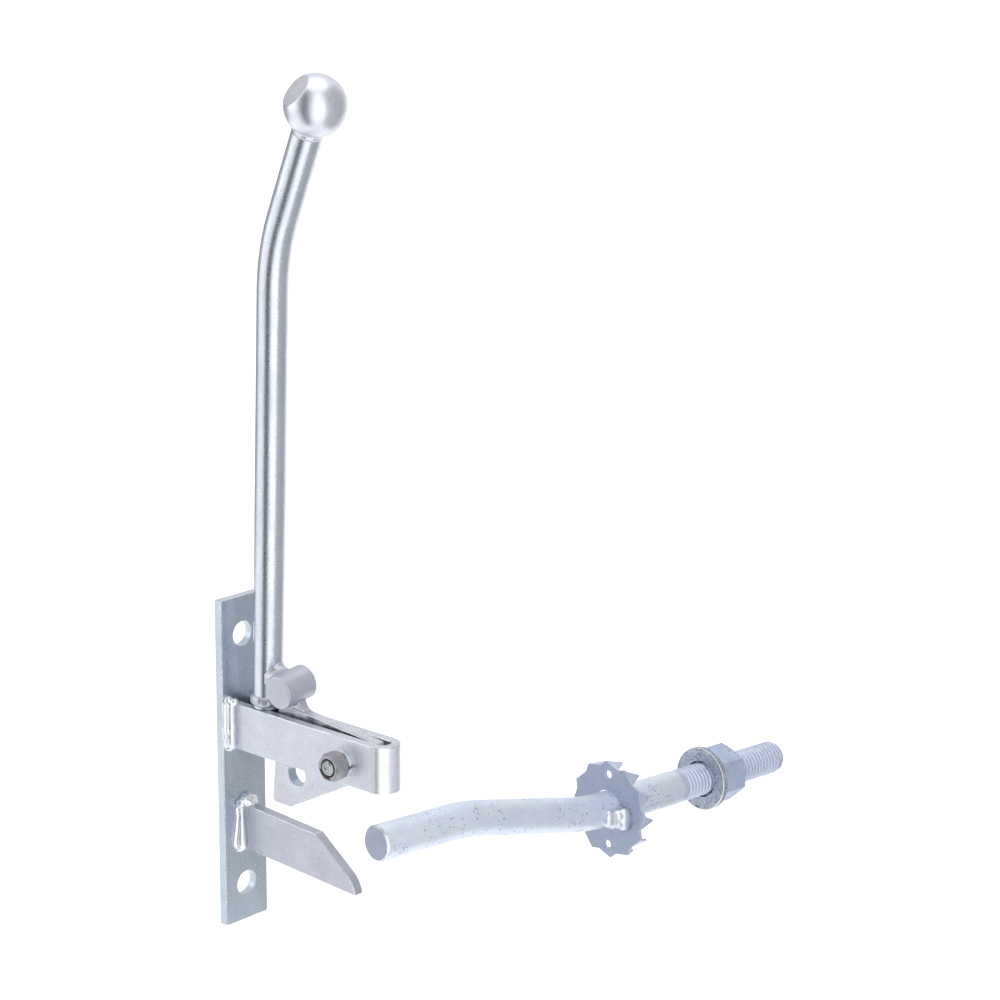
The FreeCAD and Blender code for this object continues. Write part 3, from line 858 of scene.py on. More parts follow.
    def _streaks(self) -> bpy.types.NodeTree:
        """Marks drawn out along one direction by a Mapping node before the group.

        Returns:
            The node group.
        """
        graph, start, end = self._start("Drawn marks", {"Scale": 60.0}, ("Mark",))
        place, scale = start.outputs["Vector"], start.outputs["Scale"]
        texture = {"Vector": place, "Scale": scale, "Detail": 4.0, "Roughness": 0.65}
        marks = graph.add("ShaderNodeTexNoise", texture)
        graph.feed(end.inputs["Mark"], graph.ranged(marks.outputs["Fac"], *self.MARK_RANGE))
        return graph.tree

    def _stain_and_shade(self) -> bpy.types.NodeTree:
        """Ragged patch round the origin of its Vector input: a weld's heat tint, and the painted shade on
        the tumbler inside the strap's slot.

        Returns:
            The node group.
        """
        graph, start, end = self._start("Heat stain", {"Reach": 0.006}, ("Mask",))
        place = start.outputs["Vector"]
        far = graph.add("ShaderNodeVectorMath", {0: place}, operation="LENGTH").outputs["Value"]
        rag = {"Vector": place, "Scale": self.STAIN_AND_SHADE_RAG_SCALE, "Detail": 3.0}
        ragged = graph.add("ShaderNodeTexNoise", rag)
        share = graph.value("DIVIDE", far, start.outputs["Reach"])
        edge = graph.value("ADD", share, graph.ranged(ragged.outputs["Fac"], *self.RAG_RANGE))
        graph.feed(end.inputs["Mask"], graph.ranged(edge, *self.STAIN_AND_SHADE_EDGE))
        return graph.tree


@dataclass(frozen=True)
class ZincFinish:
    """One metal finish of the catch.

    Colours are as they should render and shares run from 0 to 1. Scales are per metre, and the
    place and reach of the stain patch, which on the tumbler is painted shade, are in millimetres.
    """

    name: str
    light: Colour
    dark: Colour
    pit: Colour
    metallic: float = 0.6
    smooth_rough: float = 0.34
    coarse_rough: float = 0.52
    crystal_scale: float = 230.0
    cloud_scale: float = 45.0
    grain_scale: float = 1400.0
    crystal_share: float = 0.25
    grain_share: float = 0.25
    pit_scale: float = 520.0
    pit_amount: float = 0.0
    pit_size: float = 0.34
    patch_scale: float = 60.0
    streak: Place = (1.0, 1.0, 1.0)
    streak_scale: float = 60.0
    streak_share: float = 0.0
    stain_and_shade: Colour = (0.30, 0.19, 0.10)
    stain_and_shade_place: Place = (0.0, 0.0, 0.0)
    stain_and_shade_reach: float = 0.0
    stain_and_shade_stretch: Place = (1.0, 1.0, 1.0)
    bump: float = 0.12
    bump_distance: float = 0.25
    gloss_of_tone: float = -0.6
    grain_height: float = 0.35
    pit_depth: float = 1.6
    sheen_range: tuple[float, float] = (-0.4, 0.8)

    def build(self, effects: Effects) -> bpy.types.Material:
        """Make the material's node tree.

        Args:
            effects: The shared node groups.

        Returns:
            The finished material.
        """
        material = bpy.data.materials.new(self.name)
        material.use_nodes = True
        material.node_tree.nodes.clear()
        graph = Graph(material.node_tree)
        place = graph.add("ShaderNodeTexCoord").outputs["Object"]
        spangle = graph.place_group(
            effects.spangle,
            Vector=place,
            Scale=self.crystal_scale,
            Cloud_Scale=self.cloud_scale,
            Grain_Scale=self.grain_scale,
        )
        pits = graph.place_group(
            effects.pits,
            Vector=place,
            Scale=self.pit_scale,
            Amount=self.pit_amount,
            Size=self.pit_size,
            Patch_Scale=self.patch_scale,
        ).outputs["Mask"]
        drawn = graph.add("ShaderNodeMapping", {"Vector": place, "Scale": self.streak}).outputs["Vector"]
        mark = graph.place_group(effects.streaks, Vector=drawn, Scale=self.streak_scale).outputs["Mark"]
        crystal = graph.value("MULTIPLY", spangle.outputs["Crystal"], self.crystal_share)
        left = 1.0 - self.crystal_share - self.streak_share - self.grain_share
        cloud = graph.value("MULTIPLY", spangle.outputs["Cloud"], left)
        grain = spangle.outputs["Grain"]
        speckle = graph.value("MULTIPLY", grain, self.grain_share)
        drawn_tone = graph.value("MULTIPLY", mark, self.streak_share)
        broad, fine = graph.value("ADD", crystal, cloud), graph.value("ADD", drawn_tone, speckle)
        tone = graph.value("ADD", broad, fine)
        coat = graph.mixed(tone, (*self.dark, 1.0), (*self.light, 1.0))
        colour = graph.mixed(pits, coat, (*self.pit, 1.0))
        if self.stain_and_shade_reach:
            colour = self.stained_and_shaded(graph, effects, place, colour)
        dullness = graph.value("ADD", graph.value("MULTIPLY", tone, self.gloss_of_tone), grain)
        rough = graph.ranged(dullness, *self.sheen_range, self.smooth_rough, self.coarse_rough)
        height = graph.value("ADD", graph.value("MULTIPLY", grain, self.grain_height), tone)
        height = graph.value("SUBTRACT", height, graph.value("MULTIPLY", pits, self.pit_depth))
        relief = {"Height": height, "Strength": self.bump, "Distance": self.bump_distance * MM}
        normal = graph.add("ShaderNodeBump", relief).outputs["Normal"]
        inputs = {"Base Color": colour, "Metallic": self.metallic, "Roughness": rough, "Normal": normal}
        shader = graph.add("ShaderNodeBsdfPrincipled", inputs)
        end = graph.add("ShaderNodeOutputMaterial")
        graph.feed(end.inputs["Surface"], shader.outputs["BSDF"])
        return material

    def stained_and_shaded(
        self, graph: Graph, effects: Effects, place: bpy.types.NodeSocket, colour: bpy.types.NodeSocket
    ) -> bpy.types.NodeSocket:
        """Lay the finish's patch over its colour: a heat tint on the sheet, painted shade on the tumbler.

        Args:
            graph: The material's graph.
            effects: The shared node groups.
            place: Object coordinates.
            colour: The colour without the patch.

        Returns:
            The colour with the patch.
        """
        near = graph.arrow("SUBTRACT", place, Vector(self.stain_and_shade_place) * MM)
        drawn = graph.arrow("DIVIDE", near, self.stain_and_shade_stretch)
        mask = graph.place_group(effects.stain_and_shade, Vector=drawn, Reach=self.stain_and_shade_reach * MM)
        return graph.mixed(mask.outputs["Mask"], colour, (*self.stain_and_shade, 1.0))


class FinishShop:
    """Makes each finish once and puts it on pieces."""

    def __init__(self) -> None:
        """Build the shared effects and every finish."""
        effects = Effects()
        self.back_plate = ZincFinish(
            "zinc back plate", (0.66, 0.74, 0.84), (0.44, 0.51, 0.60), (0.28, 0.33, 0.38),
            smooth_rough=0.20, coarse_rough=0.32, streak=(1.0, 6.0, 0.5), streak_share=0.35,
            crystal_share=0.15, pit_amount=0.12, pit_size=0.26,
        ).build(effects)
        flat_bar = ZincFinish(
            "zinc flat bar", (0.82, 0.85, 0.92), (0.50, 0.53, 0.61), (0.32, 0.36, 0.42),
            grain_share=0.6, crystal_share=0.1, grain_scale=900.0, cloud_scale=70.0,
            streak=(0.6, 1.0, 1.6), streak_share=0.15, pit_amount=0.16, bump=0.25,
        )
        self.flat_bar = flat_bar.build(effects)
        # Painted shade: a dark patch on the tumbler's near face, where the strap's slot hides it from the
        # light.
        self.tumbler = replace(
            flat_bar, name="zinc tumbler with painted slot shade", stain_and_shade=(0.11, 0.13, 0.14), stain_and_shade_place=Lever.slot_shadow,
            stain_and_shade_reach=10.0, stain_and_shade_stretch=(5.0, 0.15, 1.5),
        ).build(effects)
        # Painted highlight: a white, fully metallic copy of the strap's zinc on the bend, brighter than the
        # strap's faces.
        self.bend = ZincFinish(
            "zinc with painted highlight at the bend", (1.0, 1.0, 1.0), (0.76, 0.80, 0.87), (0.46, 0.50, 0.58),
            metallic=1.0, smooth_rough=0.34, coarse_rough=0.48, streak=(0.25, 0.25, 5.0),
            streak_scale=120.0, streak_share=0.55, crystal_share=0.1, grain_share=0.2, bump=0.15,
        ).build(effects)
        # Painted shade: a near-black copy of the zinc on the walls of the strap's slot, darkening the gap.
        self.inside = ZincFinish(
            "painted shade inside the slot", (0.24, 0.26, 0.29), (0.10, 0.11, 0.13), (0.05, 0.06, 0.07),
            metallic=0.3, smooth_rough=0.55, coarse_rough=0.75,
        ).build(effects)
        # Painted shade: the strap's zinc with darker colours, for the guide arm's face.
        self.guide = ZincFinish(
            "zinc guide bar with painted shade", (0.70, 0.72, 0.80), (0.41, 0.43, 0.51), (0.28, 0.31, 0.36),
            grain_share=0.6, grain_scale=900.0, crystal_share=0.1, cloud_scale=70.0,
            streak=(0.6, 1.0, 1.6), streak_share=0.15, pit_amount=0.2, bump=0.25,
        ).build(effects)
        # Partly painted highlight: the rounded edges take a lighter zinc that brightens them as glints
        # would; the dark pits are the coat's own specks.
        self.rim = ZincFinish(
            "pitted edge zinc with painted highlight", (0.90, 0.92, 0.95), (0.50, 0.54, 0.61), (0.14, 0.17, 0.21),
            metallic=0.75, smooth_rough=0.22, coarse_rough=0.44, crystal_scale=520.0, crystal_share=0.5,
            pit_amount=0.55, pit_size=0.44, pit_scale=900.0, patch_scale=120.0, bump=0.25,
        ).build(effects)
        self.round_bar = ZincFinish(
            "zinc round bar", (0.70, 0.735, 0.81), (0.49, 0.535, 0.605), (0.32, 0.36, 0.40),
            metallic=0.9, smooth_rough=0.20, coarse_rough=0.38, streak=(1.0, 1.0, 0.22),
            streak_scale=150.0, streak_share=0.4, crystal_share=0.15, pit_amount=0.12, pit_size=0.24,
            bump=0.16,
        ).build(effects)
        self.satin = ZincFinish(
            "satin zinc at the stop", (0.64, 0.65, 0.75), (0.46, 0.47, 0.57), (0.28, 0.30, 0.36),
            grain_share=0.4, metallic=0.55, smooth_rough=0.38, coarse_rough=0.56, crystal_share=0.15,
            pit_amount=0.08, bump=0.10,
        ).build(effects)
        self.satin_edge = ZincFinish(
            "satin zinc over weld", (0.68, 0.70, 0.78), (0.46, 0.48, 0.55), (0.28, 0.30, 0.34),
            metallic=0.7, smooth_rough=0.26, coarse_rough=0.44, cloud_scale=120.0, crystal_share=0.15,
            bump=0.14,
        ).build(effects)
        self.sawn = ZincFinish(
            "zinc over sawn end", (0.66, 0.70, 0.78), (0.54, 0.57, 0.65), (0.36, 0.39, 0.45),
            grain_share=0.4, metallic=0.45, smooth_rough=0.45, coarse_rough=0.62, crystal_share=0.2,
            pit_amount=0.1, bump=0.10,
        ).build(effects)
        self.ball = ZincFinish(
            "zinc ball", (0.82, 0.83, 0.91), (0.55, 0.57, 0.64), (0.34, 0.37, 0.42),
            metallic=0.85, smooth_rough=0.24, coarse_rough=0.42, crystal_scale=420.0, cloud_scale=90.0,
            pit_amount=0.2, pit_scale=800.0, pit_size=0.3, bump=0.16,
        ).build(effects)
        self.weld = ZincFinish(
            "zinc over weld", (0.96, 0.97, 1.0), (0.68, 0.72, 0.79), (0.36, 0.39, 0.43),
            metallic=0.75, smooth_rough=0.26, coarse_rough=0.42, cloud_scale=190.0, crystal_share=0.15,
            bump=0.16,
        ).build(effects)
        self.nub = ZincFinish(
            "zinc over nub", (0.84, 0.88, 0.98), (0.54, 0.58, 0.70), (0.36, 0.39, 0.48),
            metallic=0.7, smooth_rough=0.24, coarse_rough=0.40, cloud_scale=220.0, crystal_share=0.15,
            bump=0.2,
        ).build(effects)
        self.plain = ZincFinish(
            "dull steel", (0.46, 0.45, 0.48), (0.30, 0.29, 0.31), (0.14, 0.12, 0.10),
            grain_share=0.35, metallic=0.7, smooth_rough=0.34, coarse_rough=0.52, pit_amount=0.4,
            pit_scale=900.0, cloud_scale=160.0, bump=0.22,
        ).build(effects)
        self.worn_edge = ZincFinish(
            "worn steel edge", (0.52, 0.49, 0.47), (0.20, 0.17, 0.15), (0.10, 0.07, 0.05),
            metallic=0.8, smooth_rough=0.30, coarse_rough=0.50, crystal_scale=700.0, crystal_share=0.5,
            pit_amount=0.5, pit_scale=1100.0, bump=0.2,
        ).build(effects)
        # Painted shade: near-black in the nut's countersunk mouth round the bolt's tip.
        self.mouth_shade = ZincFinish(
            "painted shade in the nut's mouth", (0.10, 0.09, 0.08), (0.04, 0.035, 0.03), (0.02, 0.02, 0.02),
            metallic=0.2, smooth_rough=0.5, coarse_rough=0.7,
        ).build(effects)
        self.bright = ZincFinish(
            "bright steel", (0.44, 0.46, 0.50), (0.18, 0.20, 0.22), (0.07, 0.08, 0.09),
            metallic=0.95, smooth_rough=0.18, coarse_rough=0.34, crystal_scale=900.0, crystal_share=0.5,
            cloud_scale=220.0, pit_amount=0.6, pit_scale=1300.0, bump=0.3,
        ).build(effects)
        self.striker = ZincFinish(
            "pale pitted zinc", (0.92, 0.98, 1.0), (0.66, 0.74, 0.96), (0.42, 0.48, 0.66),
            grain_share=0.4, metallic=0.55, smooth_rough=0.36, coarse_rough=0.56, pit_amount=1.4,
            pit_size=0.44, pit_scale=560.0, patch_scale=80.0, streak=(1.0, 0.12, 1.0), streak_share=0.2,
            bump=0.40,
        ).build(effects)
        self.cut_end = ZincFinish(
            "cut end under zinc", (0.52, 0.56, 0.70), (0.41, 0.45, 0.58), (0.20, 0.23, 0.29),
            metallic=0.4, smooth_rough=0.45, coarse_rough=0.60, pit_amount=0.15, bump=0.10,
        ).build(effects)
        # Zinc for the thread; also the painted highlight on the toothed plate's bent teeth and edges.
        self.thread = ZincFinish(
            "zinc over thread and painted highlight on teeth", (0.74, 0.80, 0.98), (0.50, 0.56, 0.70), (0.24, 0.28, 0.36),
            metallic=0.5, smooth_rough=0.32, coarse_rough=0.50, crystal_scale=700.0, pit_amount=0.5,
            bump=0.2,
        ).build(effects)
        self.sheet = ZincFinish(
            "matt zinc sheet", (0.50, 0.56, 0.72), (0.37, 0.43, 0.57), (0.17, 0.20, 0.26),
            grain_share=0.3, metallic=0.45, smooth_rough=0.46, coarse_rough=0.62, pit_amount=0.2,
            crystal_share=0.15, bump=0.08, stain_and_shade=(0.30, 0.24, 0.20), stain_and_shade_place=Striker.heat_tint,
            stain_and_shade_reach=9.0,
        ).build(effects)
        self.hardware = ZincFinish(
            "speckled zinc", (0.60, 0.66, 0.76), (0.26, 0.31, 0.39), (0.11, 0.14, 0.20),
            grain_share=0.3, metallic=0.5, smooth_rough=0.36, coarse_rough=0.56, crystal_scale=900.0,
            crystal_share=0.5, pit_amount=1.6, pit_size=0.6, pit_scale=1000.0, patch_scale=300.0, bump=0.3,
        ).build(effects)
        self.nut = ZincFinish(
            "matt zinc nut", (0.64, 0.74, 0.96), (0.42, 0.50, 0.70), (0.18, 0.22, 0.30),
            grain_share=0.3, metallic=0.5, smooth_rough=0.36, coarse_rough=0.54, cloud_scale=110.0,
            crystal_share=0.25, pit_amount=0.6, pit_scale=760.0, pit_size=0.5, bump=0.18,
        ).build(effects)

    @staticmethod
    def put_on(piece: bpy.types.Object, *finishes: bpy.types.Material) -> None:
        """Give a piece its finishes, the last one also to any slots left over.

        Args:
            piece: The object.
            *finishes: Its materials, by slot.
        """
        slots = piece.data.materials
        while len(slots) < len(finishes):
            slots.append(None)
        for index in range(len(slots)):
            slots[index] = finishes[min(index, len(finishes) - 1)]


@dataclass
class Assembly:
    """What every sub-assembly shares: the frame, the finishes and how a piece is handed over."""

    frame: dict
    shop: FinishShop

    def hand_over(
        self,
        piece: bpy.types.Object,
        body: Body,
        slot: Slot,
        finishes: Sequence[bpy.types.Material],
        nodes: Sequence[str],
    ) -> None:
        """Finish a new piece, let it ride and let it stand for CAD nodes.

        Args:
            piece: The new object, with its place in its mesh.
            body: The body that it rides on.
            slot: The record's slot; not used.
            finishes: Its materials, by slot.
            nodes: The CAD nodes that it replaces.
        """
        self.shop.put_on(piece, *finishes)
        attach(piece, body.value)
        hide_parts(*nodes)
        piece.data.calc_loop_triangles()
        count = len(piece.data.loop_triangles)
        LOG.info("%s stands for %s, %d triangles", piece.name, ", ".join(nodes), count)

    @staticmethod
    def dab(piece: bpy.types.Object, slot: int, test: Callable[[Vector, Vector], bool]) -> None:
        """Put the faces that pass a test on one of a piece's material slots.

        Args:
            piece: The object.
            slot: Number of the slot.
            test: Gets a face's centre in millimetres and its normal.
        """
        for face in piece.data.polygons:
            if test(face.center / MM, face.normal):
                face.material_index = slot


@dataclass
class PostCatch(Assembly):
    """Back plate, folded strap and guide arm with the welds that hold them. Sizes in millimetres."""

    plate_thickness: float = 5.0
    plate_width: float = 30.0
    plate_height: float = 180.0
    corner_radius: float = 1.2
    hole_diameter: float = 13.0
    hole_spacing: float = 139.0
    strap_depth: float = 25.0
    strap_thickness: float = 5.0
    strap_slot: float = 8.0
    strap_end: float = 115.0
    strap_underside: float = 9.0
    bend_start: float = 1.6
    pivot: tuple[float, float] = (85.9, 20.25)
    pivot_hole: float = 8.5
    guide_top: float = -23.3
    guide_depth: float = 25.0
    guide_thickness: float = 6.0
    guide_shoulder: float = 60.0
    guide_end: float = 88.6
    guide_droop: float = 3.2
    guide_nose: float = 36.0
    guide_nose_radius: float = 16.5
    edge: float = 0.55
    strap_edge: float = 0.70
    face_slack: float = 0.1
    bend_facets: int = 36
    nose_facets: int = 12
    strap_weld_leg: float = 5.2
    strap_weld_start: float = 1.9
    strap_weld_run: float = 22.7
    strap_swell: tuple[float, ...] = (0.9, 1.04, 1.02, 0.98, 1.04, 1.1, 1.0, 0.94, 0.98, 1.0, 1.02, 1.0)
    strap_lobes: tuple[tuple[float, ...], ...] = (
        (1.0, 3.0, 27.2, 2.3), (3.6, 0.8, 26.0, 2.1), (0.3, 5.0, 7.2, 1.5), (2.0, 1.8, 24.8, 2.9),
    )
    guide_weld_leg: float = 5.0
    guide_weld_start: float = 1.1
    guide_weld_run: float = 21.4
    guide_swell: tuple[float, ...] = (0.9, 1.1, 1.08, 1.0, 0.94, 0.86, 0.8, 0.74, 0.7, 0.66, 0.7, 0.76)
    guide_lumps: tuple[tuple[float, ...], ...] = (
        (1.6, -4.6, 0.4, 2.9), (2.2, -2.4, 1.4, 3.2), (2.2, 0.6, 1.7, 3.2), (1.8, 3.4, 1.0, 2.8),
        (4.2, -1.2, 0.4, 2.6), (6.4, 1.4, 0.2, 1.3), (6.8, -1.0, -0.1, 1.2), (5.2, 2.4, 0.6, 1.4),
        (1.0, 1.6, 4.0, 1.5), (0.8, -1.8, 3.9, 1.3),
    )

    def build(self) -> None:
        """Build and dress every piece that is fixed to the post."""
        self.back_plate()
        self.pivot_strap()
        self.guide_arm()
        for side, end in ((-1, "front"), (1, "rear")):
            self.strap_weld(side, "strap_weld_" + end)
            self.guide_weld(side, "guide_weld_" + end)
        self.guide_top_weld()

    def back_plate(self) -> None:
        """Flat bar with rounded corners and two screw holes."""
        clear_selection()
        bpy.ops.mesh.primitive_cube_add(
            size=1.0,
            location=(self.plate_thickness / 2 * MM, 0, 0),
            scale=(self.plate_thickness * MM, self.plate_width * MM, self.plate_height * MM),
        )
        plate = take("back_plate_dressed")
        with editing(plate):
            select_edges(plate, lambda middle, along: abs(along.x) > ALIGNED)
            bpy.ops.mesh.bevel(offset=self.corner_radius * MM, segments=4, affect="EDGES")
        for side in (-1, 1):
            z = side * self.hole_spacing / 2
            drill(plate, self.hole_diameter, (-OVERSHOOT, 0, z), (self.plate_thickness + OVERSHOOT, 0, z))
        soften(plate, self.edge)
        shop = self.shop
        self.hand_over(plate, Body.CATCH, Slot.FLAT_BAR, (shop.back_plate, shop.rim), ("back_plate",))

    def pivot_strap(self) -> None:
        """Hairpin of flat bar, drilled for the pivot bolt."""
        outer = self.strap_slot / 2 + self.strap_thickness
        inner = self.strap_slot / 2
        turn = self.strap_end - outer
        start = self.plate_thickness
        pen = Pen("pivot_strap_dressed", (start, -outer, self.strap_underside))
        pen.line((turn, -outer, self.strap_underside))
        pen.arc((turn, 0, self.strap_underside), (0, 0, 1), 180, self.bend_facets)
        pen.line((start, outer, self.strap_underside), (start, inner, self.strap_underside))
        pen.line((turn, inner, self.strap_underside))
        pen.arc((turn, 0, self.strap_underside), (0, 0, 1), -180, self.bend_facets)
        pen.line((start, -inner, self.strap_underside))
        strap = thicken(pen.close(), (0, 0, self.strap_depth))
        x, z = self.pivot
        drill(strap, self.pivot_hole, (x, -outer - OVERSHOOT, z), (x, outer + OVERSHOOT, z))
        soften(strap, self.strap_edge)
        shop = self.shop
        finishes = (shop.flat_bar, shop.rim, shop.bend, shop.inside)
        shop.put_on(strap, *finishes)
        reach = inner + self.face_slack

        def off_axis(place: Vector) -> float:
            """Distance from the slot's middle line or, past its end, from the bend's axis."""
            return abs(place.y) if place.x < turn else (place.xy - Vector((turn, 0))).length

        def bent(place: Vector, normal: Vector) -> bool:
            """Whether a face stands upright on the bend."""
            return place.x > turn + self.bend_start and abs(normal.z) < self.face_slack

        def in_slot(place: Vector, normal: Vector) -> bool:
            """Whether a face is a wall of the slot."""
            upright = abs(normal.z) < self.face_slack and abs(place.y) > TOUCHES
            return upright and off_axis(place) < reach

        # The bend's faces take the painted highlight.
        self.dab(strap, 2, bent)
        # The slot's walls take the painted shade.
        self.dab(strap, 3, in_slot)
        self.hand_over(strap, Body.CATCH, Slot.FLAT_BAR, finishes, ("pivot_strap",))

    def guide_arm(self) -> None:
        """Drooping flat bar with its slanted nose turned down at the tip."""
        droop = math.tan(math.radians(self.guide_droop))
        slant = math.radians(self.guide_nose)
        start = self.plate_thickness
        y = -self.guide_thickness / 2
        bottom = self.guide_top - self.guide_depth
        shoulder = Vector((self.guide_shoulder, y, self.guide_top - (self.guide_shoulder - start) * droop))
        tip = Vector((self.guide_end, y, bottom - (self.guide_end - start) * droop))
        down = Vector((math.cos(slant), 0, -math.sin(slant)))
        inwards = Vector((-math.sin(slant), 0, -math.cos(slant)))
        span = tip - shoulder
        sideways = span.dot(inwards) - self.guide_nose_radius
        slant_end = shoulder + down * (span.dot(down) - math.sqrt(self.guide_nose_radius**2 - sideways**2))
        centre = slant_end + inwards * self.guide_nose_radius
        sweep = math.degrees((slant_end - centre).angle(tip - centre))
        pen = Pen("guide_arm_dressed", (start, y, self.guide_top))
        pen.line(shoulder, slant_end).arc(centre, (0, 1, 0), sweep, self.nose_facets)
        pen.line((start, y, bottom))
        arm = thicken(pen.close(), (0, self.guide_thickness, 0))
        soften(arm, self.edge)
        shop = self.shop
        self.hand_over(arm, Body.CATCH, Slot.FLAT_BAR, (shop.guide, shop.rim), ("guide_arm",))

    def strap_weld(self, side: int, node: str) -> None:
        """Bead down the outer face of one strap leg, with the lobes where it was begun.

        Args:
            side: -1 for the near side and 1 for the far one.
            node: The CAD weld that it stands for.
        """
        out = ACROSS + ALONG * side
        corner = ACROSS * self.plate_thickness + ALONG * side * (self.strap_slot / 2 + self.strap_thickness)
        corner += UP * self.strap_underside
        puddle = Puddle(node + "_dressed")
        start, run = corner + UP * self.strap_weld_start, UP * self.strap_weld_run
        puddle.bead(start, run, out, ALONG * side, self.strap_weld_leg, self.strap_swell)
        for x, y, z, radius in self.strap_lobes:
            puddle.drop(corner + ACROSS * x + ALONG * side * y + UP * z, radius)
        self.hand_over(puddle.melt(), Body.CATCH, Slot.WELD, (self.shop.weld,), (node,))

    def guide_weld(self, side: int, node: str) -> None:
        """Bead down one face of the guide arm, wider towards its foot.

        Args:
            side: -1 for the near side and 1 for the far one.
            node: The CAD weld that it stands for.
        """
        corner = ACROSS * self.plate_thickness + ALONG * side * (self.guide_thickness / 2)
        start = corner + UP * (self.guide_top - self.guide_depth + self.guide_weld_start)
        puddle = Puddle(node + "_dressed")
        run, out = UP * self.guide_weld_run, ACROSS + ALONG * side
        puddle.bead(start, run, out, ALONG * side, self.guide_weld_leg, self.guide_swell)
        self.hand_over(puddle.melt(), Body.CATCH, Slot.WELD, (self.shop.weld,), (node,))

    def guide_top_weld(self) -> None:
        """Lumps of weld across the top edge of the guide arm, with a little spatter."""
        puddle = Puddle("guide_weld_top_dressed")
        for x, y, z, radius in self.guide_lumps:
            puddle.drop((self.plate_thickness + x, y, self.guide_top + z), radius)
        self.hand_over(puddle.melt(), Body.CATCH, Slot.WELD, (self.shop.weld,), ("guide_weld_top",))


